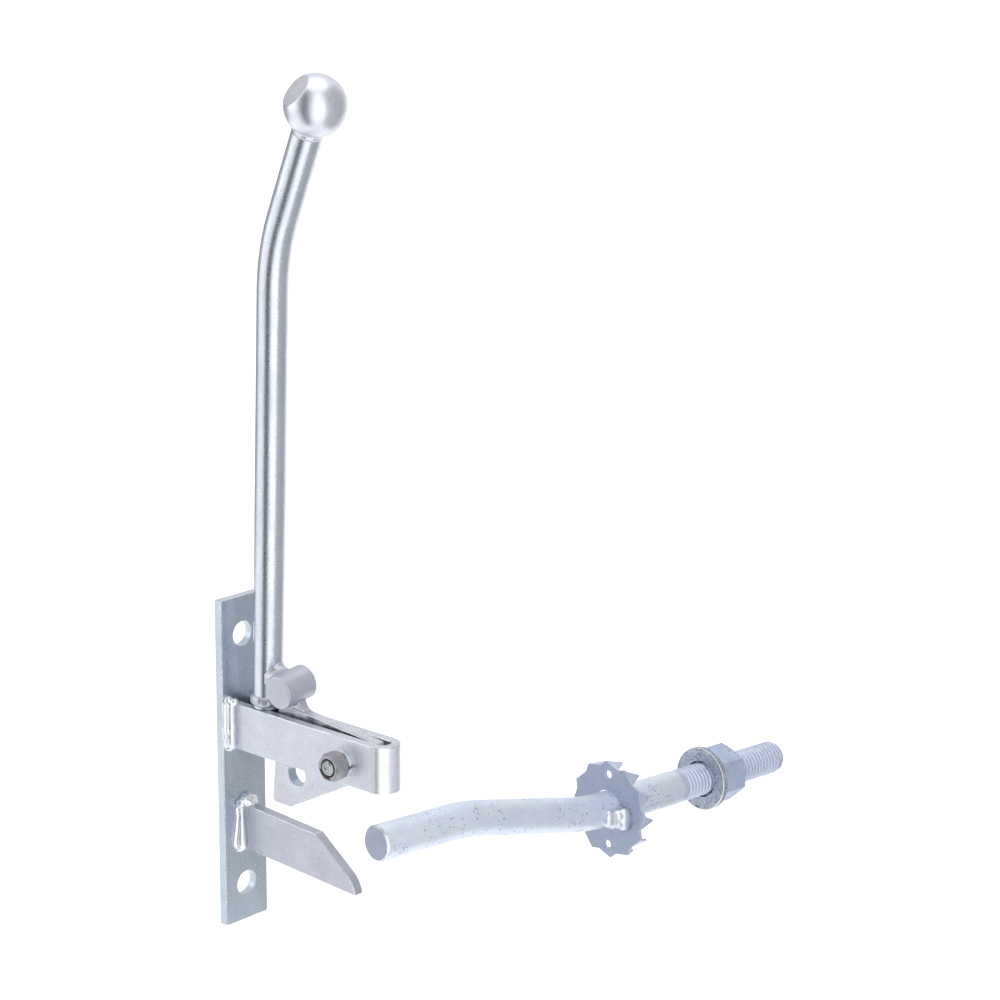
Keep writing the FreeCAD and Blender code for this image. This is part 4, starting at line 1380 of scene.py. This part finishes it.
@dataclass
class Lever(Assembly):
    """The moving piece: tumbler, bent rod, ball, stop bar and their welds. Sizes in millimetres."""

    rod_diameter: float = 16.0
    foot: Place = (23.3, 0.0, 34.0)
    foot_gap: float = 0.3
    lean: float = 2.0
    straight_length: float = 240.0
    bend_angle: float = 20.4
    bend_radius: float = 110.0
    upper_length: float = 80.6
    ball_diameter: float = 31.4
    socket_depth: float = 9.0
    flat_radius: float = 9.1
    flat_azimuth: float = -111.7
    flat_elevation: float = 37.8
    neck_reach: float = 2.3
    neck_sunk: Place = (0.3, 1.0, 0.4)
    neck_clearance: float = 0.02
    neck_steps: int = 6
    ball_edge: float = 0.45
    bar_edge: float = 0.25
    stop_diameter: float = 18.0
    stop_length: float = 20.3
    stop_tilt: float = 5.5
    stop_chamfer: float = 0.6
    tumbler_near: float = -2.3
    tumbler_thickness: float = 6.0
    heel: tuple[float, float] = (28.2, -16.7)
    heel_width: float = 13.0
    heel_round: tuple[float, float] = (2.78, 0.61)
    heel_top: float = 39.4
    top_slope: float = 5.0
    rear_lean: float = 6.0
    underside: float = 27.6
    pivot: tuple[float, float] = (85.9, 20.25)
    pivot_bore: float = 8.16
    front_radius: float = 21.22
    padlock_hole: tuple[float, float] = (46.2, 2.6)
    padlock_diameter: float = 12.5
    hole_slack: float = 0.1
    wall_tilt: float = 0.3
    sawn_facing: float = 0.99
    front_facets: int = 28
    bend_facets: int = 16
    ball_facets: tuple[int, int] = (34, 72)
    ball_corner: float = 28.0
    bar_corner: float = 20.0
    edge: float = 0.5
    melt_passes: int = 8
    melt_swell: float = 0.18
    # Middle of the painted shade on the tumbler's near face.
    slot_shadow: Place = (72.0, -2.3, 27.0)
    foot_lumps: tuple[tuple[float, ...], ...] = (
        (180.0, 5.6, 3.9, 3.3), (-160.0, 5.6, 4.1, 3.4), (-140.0, 5.6, 4.3, 3.6), (-120.0, 5.6, 4.4, 3.7),
        (-100.0, 5.6, 4.4, 3.7), (-80.0, 5.8, 4.3, 3.6), (-60.0, 6.0, 4.1, 3.4), (-44.0, 6.4, 3.9, 3.2),
        (-174.0, 7.0, 8.0, 1.5), (-172.0, 7.2, 6.2, 1.7),
    )

    def build(self) -> None:
        """Build and dress every piece of the lever."""
        self.tumbler()
        self.rod()
        self.ball()
        self.stop_bar()
        self.junction()

    @staticmethod
    def leaning(degrees: float) -> Vector:
        """Unit direction that leans from upright towards +X."""
        angle = math.radians(degrees)
        return Vector((math.sin(angle), 0, math.cos(angle)))

    @property
    def ball_centre(self) -> Vector:
        """Middle of the ball, in millimetres."""
        lower, upper = self.leaning(self.lean), self.leaning(self.lean + self.bend_angle)
        return Vector(self.foot) + lower * self.straight_length + upper * self.upper_length

    def leaves_front(self, start: Vector, direction: Vector) -> Vector:
        """Where a line from a point leaves the tumbler's round front.

        Args:
            start: A point on the line, in millimetres.
            direction: Its unit direction.

        Returns:
            The point on the front.
        """
        centre = Vector((self.pivot[0], start.y, self.pivot[1]))
        near = start + direction * (centre - start).dot(direction)
        return near + direction * math.sqrt(self.front_radius**2 - (centre - near).length_squared)

    def tumbler(self) -> None:
        """Plate with heel, sloped underside, round front, padlock hole and bore."""
        y = self.tumbler_near
        lean, slope = math.tan(math.radians(self.rear_lean)), math.tan(math.radians(self.top_slope))
        height = (self.heel_top - self.heel[1]) / (1 + lean * slope)
        heel = Vector((self.heel[0], y, self.heel[1]))
        heel_front = heel + ACROSS * self.heel_width
        rear_top = heel + ACROSS * height * lean + UP * height
        along_top = Vector((1, 0, -slope)).normalized()
        rise = math.radians(self.underside)
        front_top = self.leaves_front(rear_top, along_top)
        front_low = self.leaves_front(heel_front, Vector((math.cos(rise), 0, math.sin(rise))))
        centre = Vector((self.pivot[0], y, self.pivot[1]))
        sweep = math.degrees((front_top - centre).angle(front_low - centre))
        pen = Pen("tumbler_dressed", heel).line(rear_top, front_top)
        pen.arc(centre, (0, 1, 0), sweep, self.front_facets)
        plate = thicken(pen.line(heel_front).close(), (0, self.tumbler_thickness, 0))
        for corner, offset in zip((heel, heel_front), self.heel_round):
            with editing(plate):
                select_edges(plate, lambda middle, along: abs(along.y) > ALIGNED
                             and abs(middle.x - corner.x) < TOUCHES and abs(middle.z - corner.z) < TOUCHES)
                bpy.ops.mesh.bevel(offset=offset * MM, segments=5, affect="EDGES")
        for (x, z), diameter in ((self.padlock_hole, self.padlock_diameter), (self.pivot, self.pivot_bore)):
            drill(plate, diameter, (x, y - OVERSHOOT, z), (x, y + self.tumbler_thickness + OVERSHOOT, z))
        soften(plate, self.edge)
        shop = self.shop
        finishes = (shop.tumbler, shop.rim, shop.back_plate)
        # Painted shade: the padlock hole's wall takes the darker back-plate zinc.
        self.dab(plate, 2, self.in_padlock_hole)
        self.hand_over(plate, Body.LEVER, Slot.FLAT_BAR, finishes, ("tumbler",))

    def in_padlock_hole(self, place: Vector, normal: Vector) -> bool:
        """Whether a face belongs to the wall of the padlock hole.

        Args:
            place: The face's centre, in millimetres.
            normal: Its normal.

        Returns:
            True for a face of that wall.
        """
        x, z = self.padlock_hole
        away = math.hypot(place.x - x, place.z - z)
        return abs(normal.y) < self.wall_tilt and away < self.padlock_diameter / 2 + self.hole_slack

    def rod(self) -> None:
        """Round bar pushed up from its foot, spun through its bend and pushed on into the ball."""
        lower, upper = self.leaning(self.lean), self.leaning(self.lean + self.bend_angle)
        foot = Vector(self.foot)
        cut_back = self.bend_radius * math.tan(math.radians(self.bend_angle) / 2)
        side = Vector((lower.z, 0, -lower.x))
        bend_start = foot + lower * (self.straight_length - cut_back)
        into_ball = self.ball_diameter / 2 - self.socket_depth
        rod = bar_end("lever_rod_dressed", self.rod_diameter / 2, foot - lower * self.rod_diameter, lower)
        with editing(rod):
            hold_end()
            push(bend_start - (foot - lower * self.rod_diameter))
            bend(self.bend_angle, bend_start + side * self.bend_radius, ALONG, self.bend_facets)
            push(upper * (self.upper_length - cut_back - into_ball))
            bpy.ops.mesh.select_all(action="SELECT")
            level = (0, 0, (self.foot[2] + self.foot_gap) * MM)
            bpy.ops.mesh.bisect(plane_co=level, plane_no=(0, 0, 1), use_fill=True, clear_inner=True)
        tidy_shell(rod)
        smooth(rod, TURNED_CORNER)
        self.hand_over(rod, Body.LEVER, Slot.ROUND_BAR, (self.shop.round_bar,), ("lever_rod",))

    def ball(self) -> None:
        """Ball turned about the axis of its flat, with the small fillet where the rod enters."""
        radius = self.ball_diameter / 2
        level = math.sqrt(radius**2 - self.flat_radius**2)
        sweep = 180 - math.degrees(math.asin(self.flat_radius / radius))
        along, around = self.ball_facets
        pen = Pen("lever_ball_dressed", (0, -radius, 0)).arc((0, 0, 0), (0, 0, 1), sweep, along)
        ball = revolve(pen.line((0, level, 0)).open_end(), around)
        soften(ball, self.ball_edge, 3, self.ball_corner)
        azimuth, elevation = math.radians(self.flat_azimuth), math.radians(self.flat_elevation)
        level_out = Vector((math.cos(azimuth), math.sin(azimuth), 0))
        outward = level_out * math.cos(elevation) + UP * math.sin(elevation)
        seat = Matrix.Translation(self.ball_centre * MM)
        move_mesh(ball, seat @ outward.to_track_quat("Y", "Z").to_matrix().to_4x4())
        rod = self.rod_diameter / 2
        wide = rod + self.neck_reach
        low = math.sqrt(radius**2 - rod**2) + self.neck_reach
        high = math.sqrt(radius**2 - wide**2)
        inside, deep, shallow = self.neck_sunk
        pen = Pen("neck", (rod - inside, high - deep, 0)).line((wide, high - shallow, 0))
        for step in range(1, self.neck_steps + 1):
            share = step / self.neck_steps
            left = (1 - share) ** 2
            out = left * wide + (1 - left) * (rod + self.neck_clearance)
            pen.line((out, (1 - share**2) * high + share**2 * low, 0))
        neck = revolve(pen.line((rod - inside, low, 0)).close(fill=False))
        smooth(neck, ALL_ROUND)
        down = -self.leaning(self.lean + self.bend_angle)
        move_mesh(neck, seat @ down.to_track_quat("Y", "Z").to_matrix().to_4x4())
        whole = join("lever_ball_dressed", (ball, neck))
        self.hand_over(whole, Body.LEVER, Slot.ROUND_BAR, (self.shop.ball, self.shop.weld), ("lever_ball",))

    def stop_bar(self) -> None:
        """Short round bar with a sawn near end, set a little askew."""
        low, high = (Vector(corner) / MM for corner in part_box("stop_bar"))
        tilt = math.radians(self.stop_tilt)
        along = Vector((0, math.cos(tilt), math.sin(tilt)))
        radius = self.stop_diameter / 2
        start = (low + high) / 2 - along * self.stop_length / 2
        bar = bar_end("stop_bar_dressed", radius - self.stop_chamfer, start, along)
        grow = radius / (radius - self.stop_chamfer)
        with editing(bar):
            hold_end()
            push(along * self.stop_chamfer, grow)
            push(along * (self.stop_length - 2 * self.stop_chamfer))
            push(along * self.stop_chamfer, 1 / grow)
        tidy_shell(bar)
        soften(bar, self.bar_edge, 2, self.bar_corner)
        shop = self.shop
        self.dab(bar, 2, lambda place, normal: normal.dot(along) < -self.sawn_facing)
        finishes = (shop.satin, shop.satin_edge, shop.sawn)
        self.hand_over(bar, Body.LEVER, Slot.ROUND_BAR, finishes, ("stop_bar",))

    def junction(self) -> None:
        """One melted skin for the welds between rod, stop bar and tumbler."""
        welds = ("saddle_weld", "root_weld", "toe_weld", "foot_weld")
        puddle = Puddle("junction_welds_dressed", FINE_GRAIN)
        for node in welds[:-1]:
            puddle.take_in(self.frame["nodes"][node])
        for azimuth, out, rise, radius in self.foot_lumps:
            turn = math.radians(azimuth)
            place = Vector(self.foot) + Vector((math.cos(turn), math.sin(turn), 0)) * out + UP * rise
            puddle.drop(place, radius)
        skin = puddle.melt(self.melt_passes, self.melt_swell)
        self.hand_over(skin, Body.LEVER, Slot.WELD, (self.shop.satin_edge,), welds)


@dataclass
class Pivot(Assembly):
    """Bolt, split washer and nut. Sizes in millimetres."""

    place: tuple[float, float] = (85.9, 20.25)
    strap_side: float = 9.0
    width: float = 13.0
    head_height: float = 5.3
    washer_thickness: float = 2.1
    nut_height: float = 8.0
    bolt_radius: float = 4.0
    projection: float = 0.8
    chamfer: float = 0.7
    dimple: tuple[tuple[float, float], ...] = ((0.0, 0.5), (1.1, 0.35), (1.8, 0.05))
    bore: float = 8.5
    mouth: float = 9.9
    mouth_slack: float = 0.1
    shank_facets: int = 48
    shank_corner: float = 28.0
    edge: float = 0.3

    def build(self) -> None:
        """Build and dress the fastener."""
        self.bolt()
        self.washer()
        self.nut()

    @property
    def nut_face(self) -> float:
        """Y of the nut's near face."""
        return -self.strap_side - self.washer_thickness - self.nut_height

    def at(self, y: float) -> Vector:
        """Point of the pivot's axis."""
        return Vector((self.place[0], y, self.place[1]))

    def bolt(self) -> None:
        """Hexagon head on the far side and a shank with a dimpled tip."""
        head = hexagon("pivot_bolt_dressed", self.width, self.head_height, self.at(self.strap_side), 0.0)
        soften(head, self.edge)
        tip = self.nut_face - self.projection
        radius = self.bolt_radius
        middle, *others = ((out, tip + rise, 0) for out, rise in self.dimple)
        pen = Pen("shank", middle).line(*others)
        pen.line((radius - self.chamfer, tip, 0), (radius, tip + self.chamfer, 0))
        in_head = self.strap_side + OVERSHOOT
        pen.line((radius, in_head, 0), (0, in_head, 0))
        shank = revolve(pen.open_end(), self.shank_facets)
        smooth(shank, self.shank_corner)
        move_mesh(shank, Matrix.Translation(self.at(0) * MM))
        bolt = join("pivot_bolt_dressed", (head, shank))
        self.hand_over(bolt, Body.CATCH, Slot.PLAIN, (self.shop.bright, self.shop.bright), ("pivot_bolt",))

    def washer(self) -> None:
        """Split ring with its corners worn round."""
        ring = merged_copy(self.frame["nodes"]["pivot_spring_washer"], "pivot_spring_washer_dressed")
        soften(ring, self.edge)
        nodes = ("pivot_spring_washer",)
        self.hand_over(ring, Body.CATCH, Slot.BRIGHT, (self.shop.weld, self.shop.weld), nodes)

    def nut(self) -> None:
        """Nut with a countersunk bore that stands clear of the bolt's tip."""
        nut = hexagon("pivot_nut_dressed", self.width, self.nut_height, self.at(self.nut_face), 0.0)
        rear = self.nut_face + self.nut_height
        drill(nut, self.bore, self.at(self.nut_face - OVERSHOOT), self.at(rear + OVERSHOOT))
        countersink(nut, self.mouth, self.bore, self.at(self.nut_face), ALONG)
        soften(nut, self.edge)
        shop = self.shop
        finishes = (shop.plain, shop.worn_edge, shop.mouth_shade)
        shop.put_on(nut, *finishes)
        reach = self.mouth / 2 - self.mouth_slack
        # The countersunk mouth takes the painted shade.
        self.dab(nut, 2, lambda place, normal: (place - self.at(place.y)).length < reach)
        self.hand_over(nut, Body.CATCH, Slot.PLAIN, finishes, ("pivot_nut",))


@dataclass
class Striker(Assembly):
    """Cranked bar with thread, toothed plate, washer and nut, laid out along +Y, then set in place."""

    diameter: float = 18.0
    near_length: float = 58.0
    middle_length: float = 88.5
    first_bend: float = 11.2
    second_fall: float = 11.8
    bend_radius: float = 120.0
    shank_length: float = 65.5
    end_chamfer: float = 1.0
    thread_diameter: float = 17.4
    thread_depth: float = 0.75
    thread_pitch: float = 2.5
    thread_length: float = 81.0
    thread_neck: float = 2.6
    thread_facets: int = 40
    step_run: float = 1.2
    root_run: float = 0.8
    tip_run: float = 1.4
    tip_chamfer: float = 1.0
    ridge_lead: float = 0.4
    ridge_spare: float = 1.6
    face_slack: float = 0.1
    near_end: Place = (158.3, -59.5, 11.1)
    yaw: float = 4.5
    droop: float = 1.7
    plate_from_bend: float = 15.8
    nub_angle: float = -10.0
    nub_run: float = 8.5
    nub_rise: float = 4.2
    nub_before_plate: float = 1.7
    nub_cut: float = 0.5
    nub_passes: int = 14
    nub_corner: float = 60.0
    nub_drops: tuple[tuple[float, ...], ...] = (
        (0.0, -1.3, 3.5), (0.0, 1.3, 3.5), (0.35, -1.5, 3.2), (0.35, 1.5, 3.2),
        (0.65, -1.9, 3.4), (0.65, 1.9, 3.4), (0.5, 0.0, 3.0), (1.0, -2.9, 3.4),
        (1.0, -1.0, 3.7), (1.0, 1.0, 3.7), (1.0, 2.9, 3.4),
    )
    sheet_edge: float = 0.2
    sheet_facing: float = 0.85
    washer_from_bend: float = 86.5
    washer_diameter: float = 34.0
    washer_thickness: float = 3.5
    washer_bore: float = 19.8
    washer_edge: float = 0.5
    nut_width: float = 27.0
    nut_height: float = 18.0
    nut_corner: float = 102.0
    nut_bore: float = 17.9
    nut_mouth: float = 20.0
    nut_edge: float = 0.6
    heat_tint: Place = (180.0, 98.9, -14.0)

    @property
    def set_in_place(self) -> Matrix:
        """Move from the striker's own layout to where it stands.

        Returns:
            A move in metres.
        """
        turn = Matrix.Rotation(math.radians(-self.yaw), 4, "Z")
        fall = Matrix.Rotation(math.radians(-self.droop), 4, "X")
        return Matrix.Translation(Vector(self.near_end) * MM) @ turn @ fall

    @staticmethod
    def falling(degrees: float) -> Vector:
        """Unit direction of the layout that falls away from the shank's."""
        angle = math.radians(degrees)
        return Vector((0, math.cos(angle), -math.sin(angle)))

    @property
    def near_direction(self) -> Vector:
        """Direction of the plain end."""
        return self.falling(self.second_fall - self.first_bend)

    @property
    def second_bend(self) -> Vector:
        """Corner of the second bend in the layout, in millimetres."""
        return self.near_direction * self.near_length + self.falling(self.second_fall) * self.middle_length

    def build(self) -> None:
        """Build and dress every piece of the striker."""
        self.bar()
        self.nub()
        self.toothed_plate()
        self.washer()
        self.nut()

    def bar(self) -> None:
        """Round bar pushed and spun through its crank, stepped down and threaded."""
        radius = self.diameter / 2
        near, middle = self.near_direction, self.falling(self.second_fall)
        first_cut = self.bend_radius * math.tan(math.radians(self.first_bend) / 2)
        second_cut = self.bend_radius * math.tan(math.radians(self.second_fall) / 2)
        below = Vector((0, near.z, -near.y))
        core = self.thread_diameter / 2 - self.thread_depth
        bar = bar_end("striker_bar_dressed", radius - self.end_chamfer, Vector((0, 0, 0)), near)
        with editing(bar):
            hold_end()
            push(near * self.end_chamfer, radius / (radius - self.end_chamfer))
            push(near * (self.near_length - first_cut - self.end_chamfer))
            bend(-self.first_bend, near * (self.near_length - first_cut) + below * self.bend_radius, ACROSS)
            push(middle * (self.middle_length - first_cut - second_cut))
            bend(self.second_fall, self.second_bend + ALONG * second_cut + UP * self.bend_radius, ACROSS)
            push(ALONG * (self.shank_length - second_cut - self.step_run))
            push(ALONG * self.step_run, self.thread_diameter / self.diameter)
            push(ALONG * self.thread_neck)
            push(ALONG * self.root_run, core / (self.thread_diameter / 2))
            push(ALONG * (self.thread_length - self.thread_neck - self.root_run - self.tip_run))
            push(ALONG * self.tip_run, (core - self.tip_chamfer) / core)
        tidy_shell(bar)
        smooth(bar, TURNED_CORNER)
        crest, depth, pitch = self.thread_diameter / 2, self.thread_depth, self.thread_pitch
        turns = int((self.thread_length - self.thread_neck - self.ridge_spare) / pitch)
        ridge = thread_ridge("thread", crest, depth, pitch, turns, self.thread_facets)
        shank_end = self.second_bend + ALONG * self.shank_length
        ridge_start = shank_end + ALONG * (self.thread_neck - self.ridge_lead)
        move_mesh(ridge, Matrix.Translation(ridge_start * MM))
        bar = join("striker_bar_dressed", (bar, ridge))
        shop = self.shop
        finishes = (shop.striker, shop.rim, shop.cut_end, shop.thread)
        shop.put_on(bar, *finishes)
        slack = self.face_slack
        self.dab(bar, 1, lambda place, normal: slack < place.y < self.end_chamfer - 2 * slack)
        self.dab(bar, 2, lambda place, normal: place.y < slack)
        self.dab(bar, 3, lambda place, normal: place.y > shank_end.y + 5 * slack)
        move_mesh(bar, self.set_in_place)
        self.hand_over(bar, Body.CATCH, Slot.STRIKER, finishes, ("striker_bar",))

    def nub(self) -> None:
        """Two-lobed weld that holds the toothed plate to the bar."""
        angle = math.radians(self.nub_angle)
        out = Vector((math.cos(angle), 0, math.sin(angle)))
        face = self.second_bend + ALONG * self.plate_from_bend
        on_bar = face + out * (self.diameter / 2) - ALONG * self.nub_run
        on_plate = face + out * (self.diameter / 2 + self.nub_rise) - ALONG * self.nub_before_plate
        puddle = Puddle("striker_weld_dressed", FINE_GRAIN)
        for share, step, radius in self.nub_drops:
            puddle.drop(on_bar + (on_plate - on_bar) * share + UP * step, radius)
        nub = puddle.melt(self.nub_passes)
        with editing(nub):
            end = (face + ALONG * self.nub_cut) * MM
            bpy.ops.mesh.bisect(plane_co=end, plane_no=ALONG, use_fill=True, clear_outer=True)
        smooth(nub, self.nub_corner)
        move_mesh(nub, self.set_in_place)
        self.hand_over(nub, Body.CATCH, Slot.STRIKER, (self.shop.nub,), ("striker_weld",))

    def toothed_plate(self) -> None:
        """Punched sheet with its edges softened by zinc, and a painted highlight on its bent teeth and
        edges.
        """
        plate = merged_copy(self.frame["nodes"]["toothed_plate"], "toothed_plate_dressed")
        soften(plate, self.sheet_edge, 2)
        axis = self.set_in_place.to_3x3() @ ALONG
        # Bent teeth and edges take the lighter thread zinc as painted highlight.
        self.dab(plate, 1, lambda place, normal: abs(normal.dot(axis)) < self.sheet_facing)
        finishes = (self.shop.sheet, self.shop.thread)
        self.hand_over(plate, Body.CATCH, Slot.SHEET, finishes, ("toothed_plate",))

    def washer(self) -> None:
        """Turned ring, a loose fit on the thread."""
        base = self.washer_from_bend
        inner, outer, top = self.washer_bore / 2, self.washer_diameter / 2, base + self.washer_thickness
        pen = Pen("striker_washer_dressed", (inner, base, 0))
        ring = revolve(pen.line((outer, base, 0), (outer, top, 0), (inner, top, 0)).close(fill=False))
        soften(ring, self.washer_edge)
        move_mesh(ring, self.set_in_place @ Matrix.Translation(self.second_bend * MM))
        shop = self.shop
        self.hand_over(ring, Body.CATCH, Slot.HARDWARE, (shop.hardware, shop.rim), ("striker_washer",))

    def nut(self) -> None:
        """Hexagon nut behind the washer, its bore turned out at both ends."""
        base = self.second_bend + ALONG * (self.washer_from_bend + self.washer_thickness)
        far = base + ALONG * self.nut_height
        nut = hexagon("striker_nut_dressed", self.nut_width, self.nut_height, base, self.nut_corner)
        drill(nut, self.nut_bore, base - ALONG, far + ALONG)
        countersink(nut, self.nut_mouth, self.nut_bore, far, -ALONG)
        soften(nut, self.nut_edge)
        move_mesh(nut, self.set_in_place)
        self.hand_over(nut, Body.CATCH, Slot.HARDWARE, (self.shop.nut, self.shop.nut), ("striker_nut",))


@dataclass
class Studio:
    """Floor, lamps, cards, world and camera.

    Lengths are in metres and angles in degrees. The camera's lens and sensor are in millimetres.
    A lamp's and a card's values are those of the methods lamp and card.
    """

    floor_height: float = -0.26
    floor_size: float = 40.0
    floor_paint: float = 0.8
    floor_glow: float = 0.85
    world_strength: float = 0.5
    aim: Place = (0.08, 0.05, 0.08)
    azimuth: float = 41.399
    pitch: float = 14.759
    roll: float = -0.410
    lens: float = 101.803
    camera_place: Place = (1.03435, -0.96574, 0.51241)
    sensor: float = 36.0
    clip: tuple[float, float] = (0.05, 50.0)
    lamps: tuple[tuple[str, Place, tuple[float, float], float], ...] = (
        ("key", (1.0, -0.09, 0.2), (0.35, 1.0), 1.8),
        ("fill", (-1.2, -1.3, 0.6), (1.2, 1.2), 4.0),
        ("top", (0.1, 0.1, 1.8), (1.4, 1.4), 5.6),
    )
    cards: tuple[tuple[str, float, float, float, float, float], ...] = (
        ("bright card", -27.0, 0.38, 0.23, 1.0, 1.8),
        ("dark card", -73.5, 0.30, 0.19, 1.0, 0.10),
        ("grey card", 33.0, 0.36, 0.62, 1.0, 0.53),
        ("back card", 178.0, 1.2, 1.0, 1.1, 0.40),
    )

    def build(self) -> None:
        """Set up everything round the object."""
        self.world()
        self.floor()
        for lamp in self.lamps:
            self.lamp(*lamp)
        for card in self.cards:
            self.card(*card)
        self.camera()
        LOG.info("studio is set up")

    @staticmethod
    def seen(graph: Graph) -> bpy.types.NodeSocket:
        """Share that is one for rays that come from the camera, or from gloss or glass.

        Args:
            graph: The graph to build in.

        Returns:
            The share.
        """
        path = graph.add("ShaderNodeLightPath")
        seen = graph.value("MAXIMUM", path.outputs["Is Camera Ray"], path.outputs["Is Glossy Ray"])
        return graph.value("MAXIMUM", seen, path.outputs["Is Transmission Ray"])

    def world(self) -> None:
        """Plain world that looks white and lights the object softly."""
        world = bpy.data.worlds.new("studio")
        bpy.context.scene.world = world
        world.use_nodes = True
        world.node_tree.nodes.clear()
        graph = Graph(world.node_tree)
        strength = graph.ranged(self.seen(graph), 0.0, 1.0, self.world_strength, 1.0)
        back = graph.add("ShaderNodeBackground", {"Color": (1.0, 1.0, 1.0, 1.0), "Strength": strength})
        end = graph.add("ShaderNodeOutputWorld")
        graph.feed(end.inputs["Surface"], back.outputs[0])

    @staticmethod
    def paper(
        name: str, glow: float | Callable[[Graph], bpy.types.NodeSocket], paint: float = 0.0
    ) -> bpy.types.Material:
        """Plain grey that glows, with some paint to take light and shadow.

        Args:
            name: The material's name.
            glow: Strength of its light, or what builds that strength in the graph.
            paint: How pale the paint is, from 0 to 1.

        Returns:
            The material.
        """
        material = bpy.data.materials.new(name)
        material.use_nodes = True
        material.node_tree.nodes.clear()
        graph = Graph(material.node_tree)
        strength = glow(graph) if callable(glow) else glow
        lit = graph.add("ShaderNodeEmission", {"Color": (1.0, 1.0, 1.0, 1.0), "Strength": strength})
        matt = graph.add("ShaderNodeBsdfDiffuse", {"Color": (paint, paint, paint, 1.0)})
        both = graph.add("ShaderNodeAddShader", {0: matt.outputs[0], 1: lit.outputs[0]})
        graph.feed(graph.add("ShaderNodeOutputMaterial").inputs["Surface"], both.outputs[0])
        return material

    def floor(self) -> None:
        """Wide pale floor that looks white and still takes the object's shadow."""
        clear_selection()
        bpy.ops.mesh.primitive_plane_add(size=self.floor_size, location=(0, 0, self.floor_height))
        floor = take("floor")
        floor.data.materials.append(self.paper("pale floor", self.floor_light, self.floor_paint))

    def floor_light(self, graph: Graph) -> bpy.types.NodeSocket:
        """Glow of the floor, which only eye and gloss see."""
        return graph.ranged(self.seen(graph), 0.0, 1.0, 0.0, self.floor_glow)

    def lamp(self, name: str, place: Place, size: tuple[float, float], power: float) -> None:
        """Rectangular softbox that faces the object.

        Args:
            name: The lamp's name.
            place: Where it hangs.
            size: Its width and height.
            power: Its power, in watts.
        """
        light = bpy.data.lights.new(name, "AREA")
        light.shape = "RECTANGLE"
        light.size, light.size_y = size
        light.energy = power
        holder = bpy.data.objects.new(name, light)
        bpy.context.scene.collection.objects.link(holder)
        holder.location = place
        holder.rotation_euler = (Vector(self.aim) - Vector(place)).to_track_quat("-Z", "Y").to_euler()

    def card(
        self, name: str, azimuth: float, distance: float, width: float, height: float, shade: float
    ) -> None:
        """Upright card outside the picture that only the metal's gloss mirrors.

        Args:
            name: The card's name.
            azimuth: Direction from the object, in degrees from +X towards +Y.
            distance: How far away it stands.
            width: How wide it is.
            height: How high it reaches above the floor.
            shade: Its grey, above one for a lit card.
        """
        turn = math.radians(azimuth)
        place = (distance * math.cos(turn), distance * math.sin(turn), self.floor_height + height / 2)
        upright = (math.pi / 2, 0, turn + math.pi / 2)
        clear_selection()
        bpy.ops.mesh.primitive_plane_add(size=1.0, location=place, rotation=upright)
        bpy.context.view_layer.objects.active.scale = (width, height, 1.0)
        card = take(name)
        card.data.materials.append(self.paper(name, shade))
        card.visible_camera = False
        card.visible_shadow = False
        card.visible_diffuse = False

    def camera(self) -> None:
        """Camera at the photograph's place and angle."""
        around, dip, tilt = (math.radians(value) for value in (self.azimuth, self.pitch, self.roll))
        right = Vector((math.cos(around), math.sin(around), 0))
        level = Vector((-math.sin(around), math.cos(around), 0))
        forward = level * math.cos(dip) - UP * math.sin(dip)
        down = -right.cross(forward)
        across = right * math.cos(tilt) + down * math.sin(tilt)
        below = down * math.cos(tilt) - right * math.sin(tilt)
        turn = Matrix((across, -below, -forward)).transposed()
        data = bpy.data.cameras.new("camera")
        data.lens = self.lens
        data.sensor_width = self.sensor
        data.clip_start, data.clip_end = self.clip
        holder = bpy.data.objects.new("camera", data)
        bpy.context.scene.collection.objects.link(holder)
        holder.matrix_world = Matrix.Translation(self.camera_place) @ turn.to_4x4()
        bpy.context.scene.camera = holder


def main() -> None:
    """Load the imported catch, build its pieces in order and report each."""
    logging.basicConfig(level=logging.INFO, format="%(name)s: %(message)s")
    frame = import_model()
    bpy.context.scene.view_settings.view_transform = "Standard"
    shop = FinishShop()
    for assembly in (PostCatch, Lever, Pivot, Striker):
        assembly(frame, shop).build()
    Studio().build()


if __name__ == "__main__":
    main()
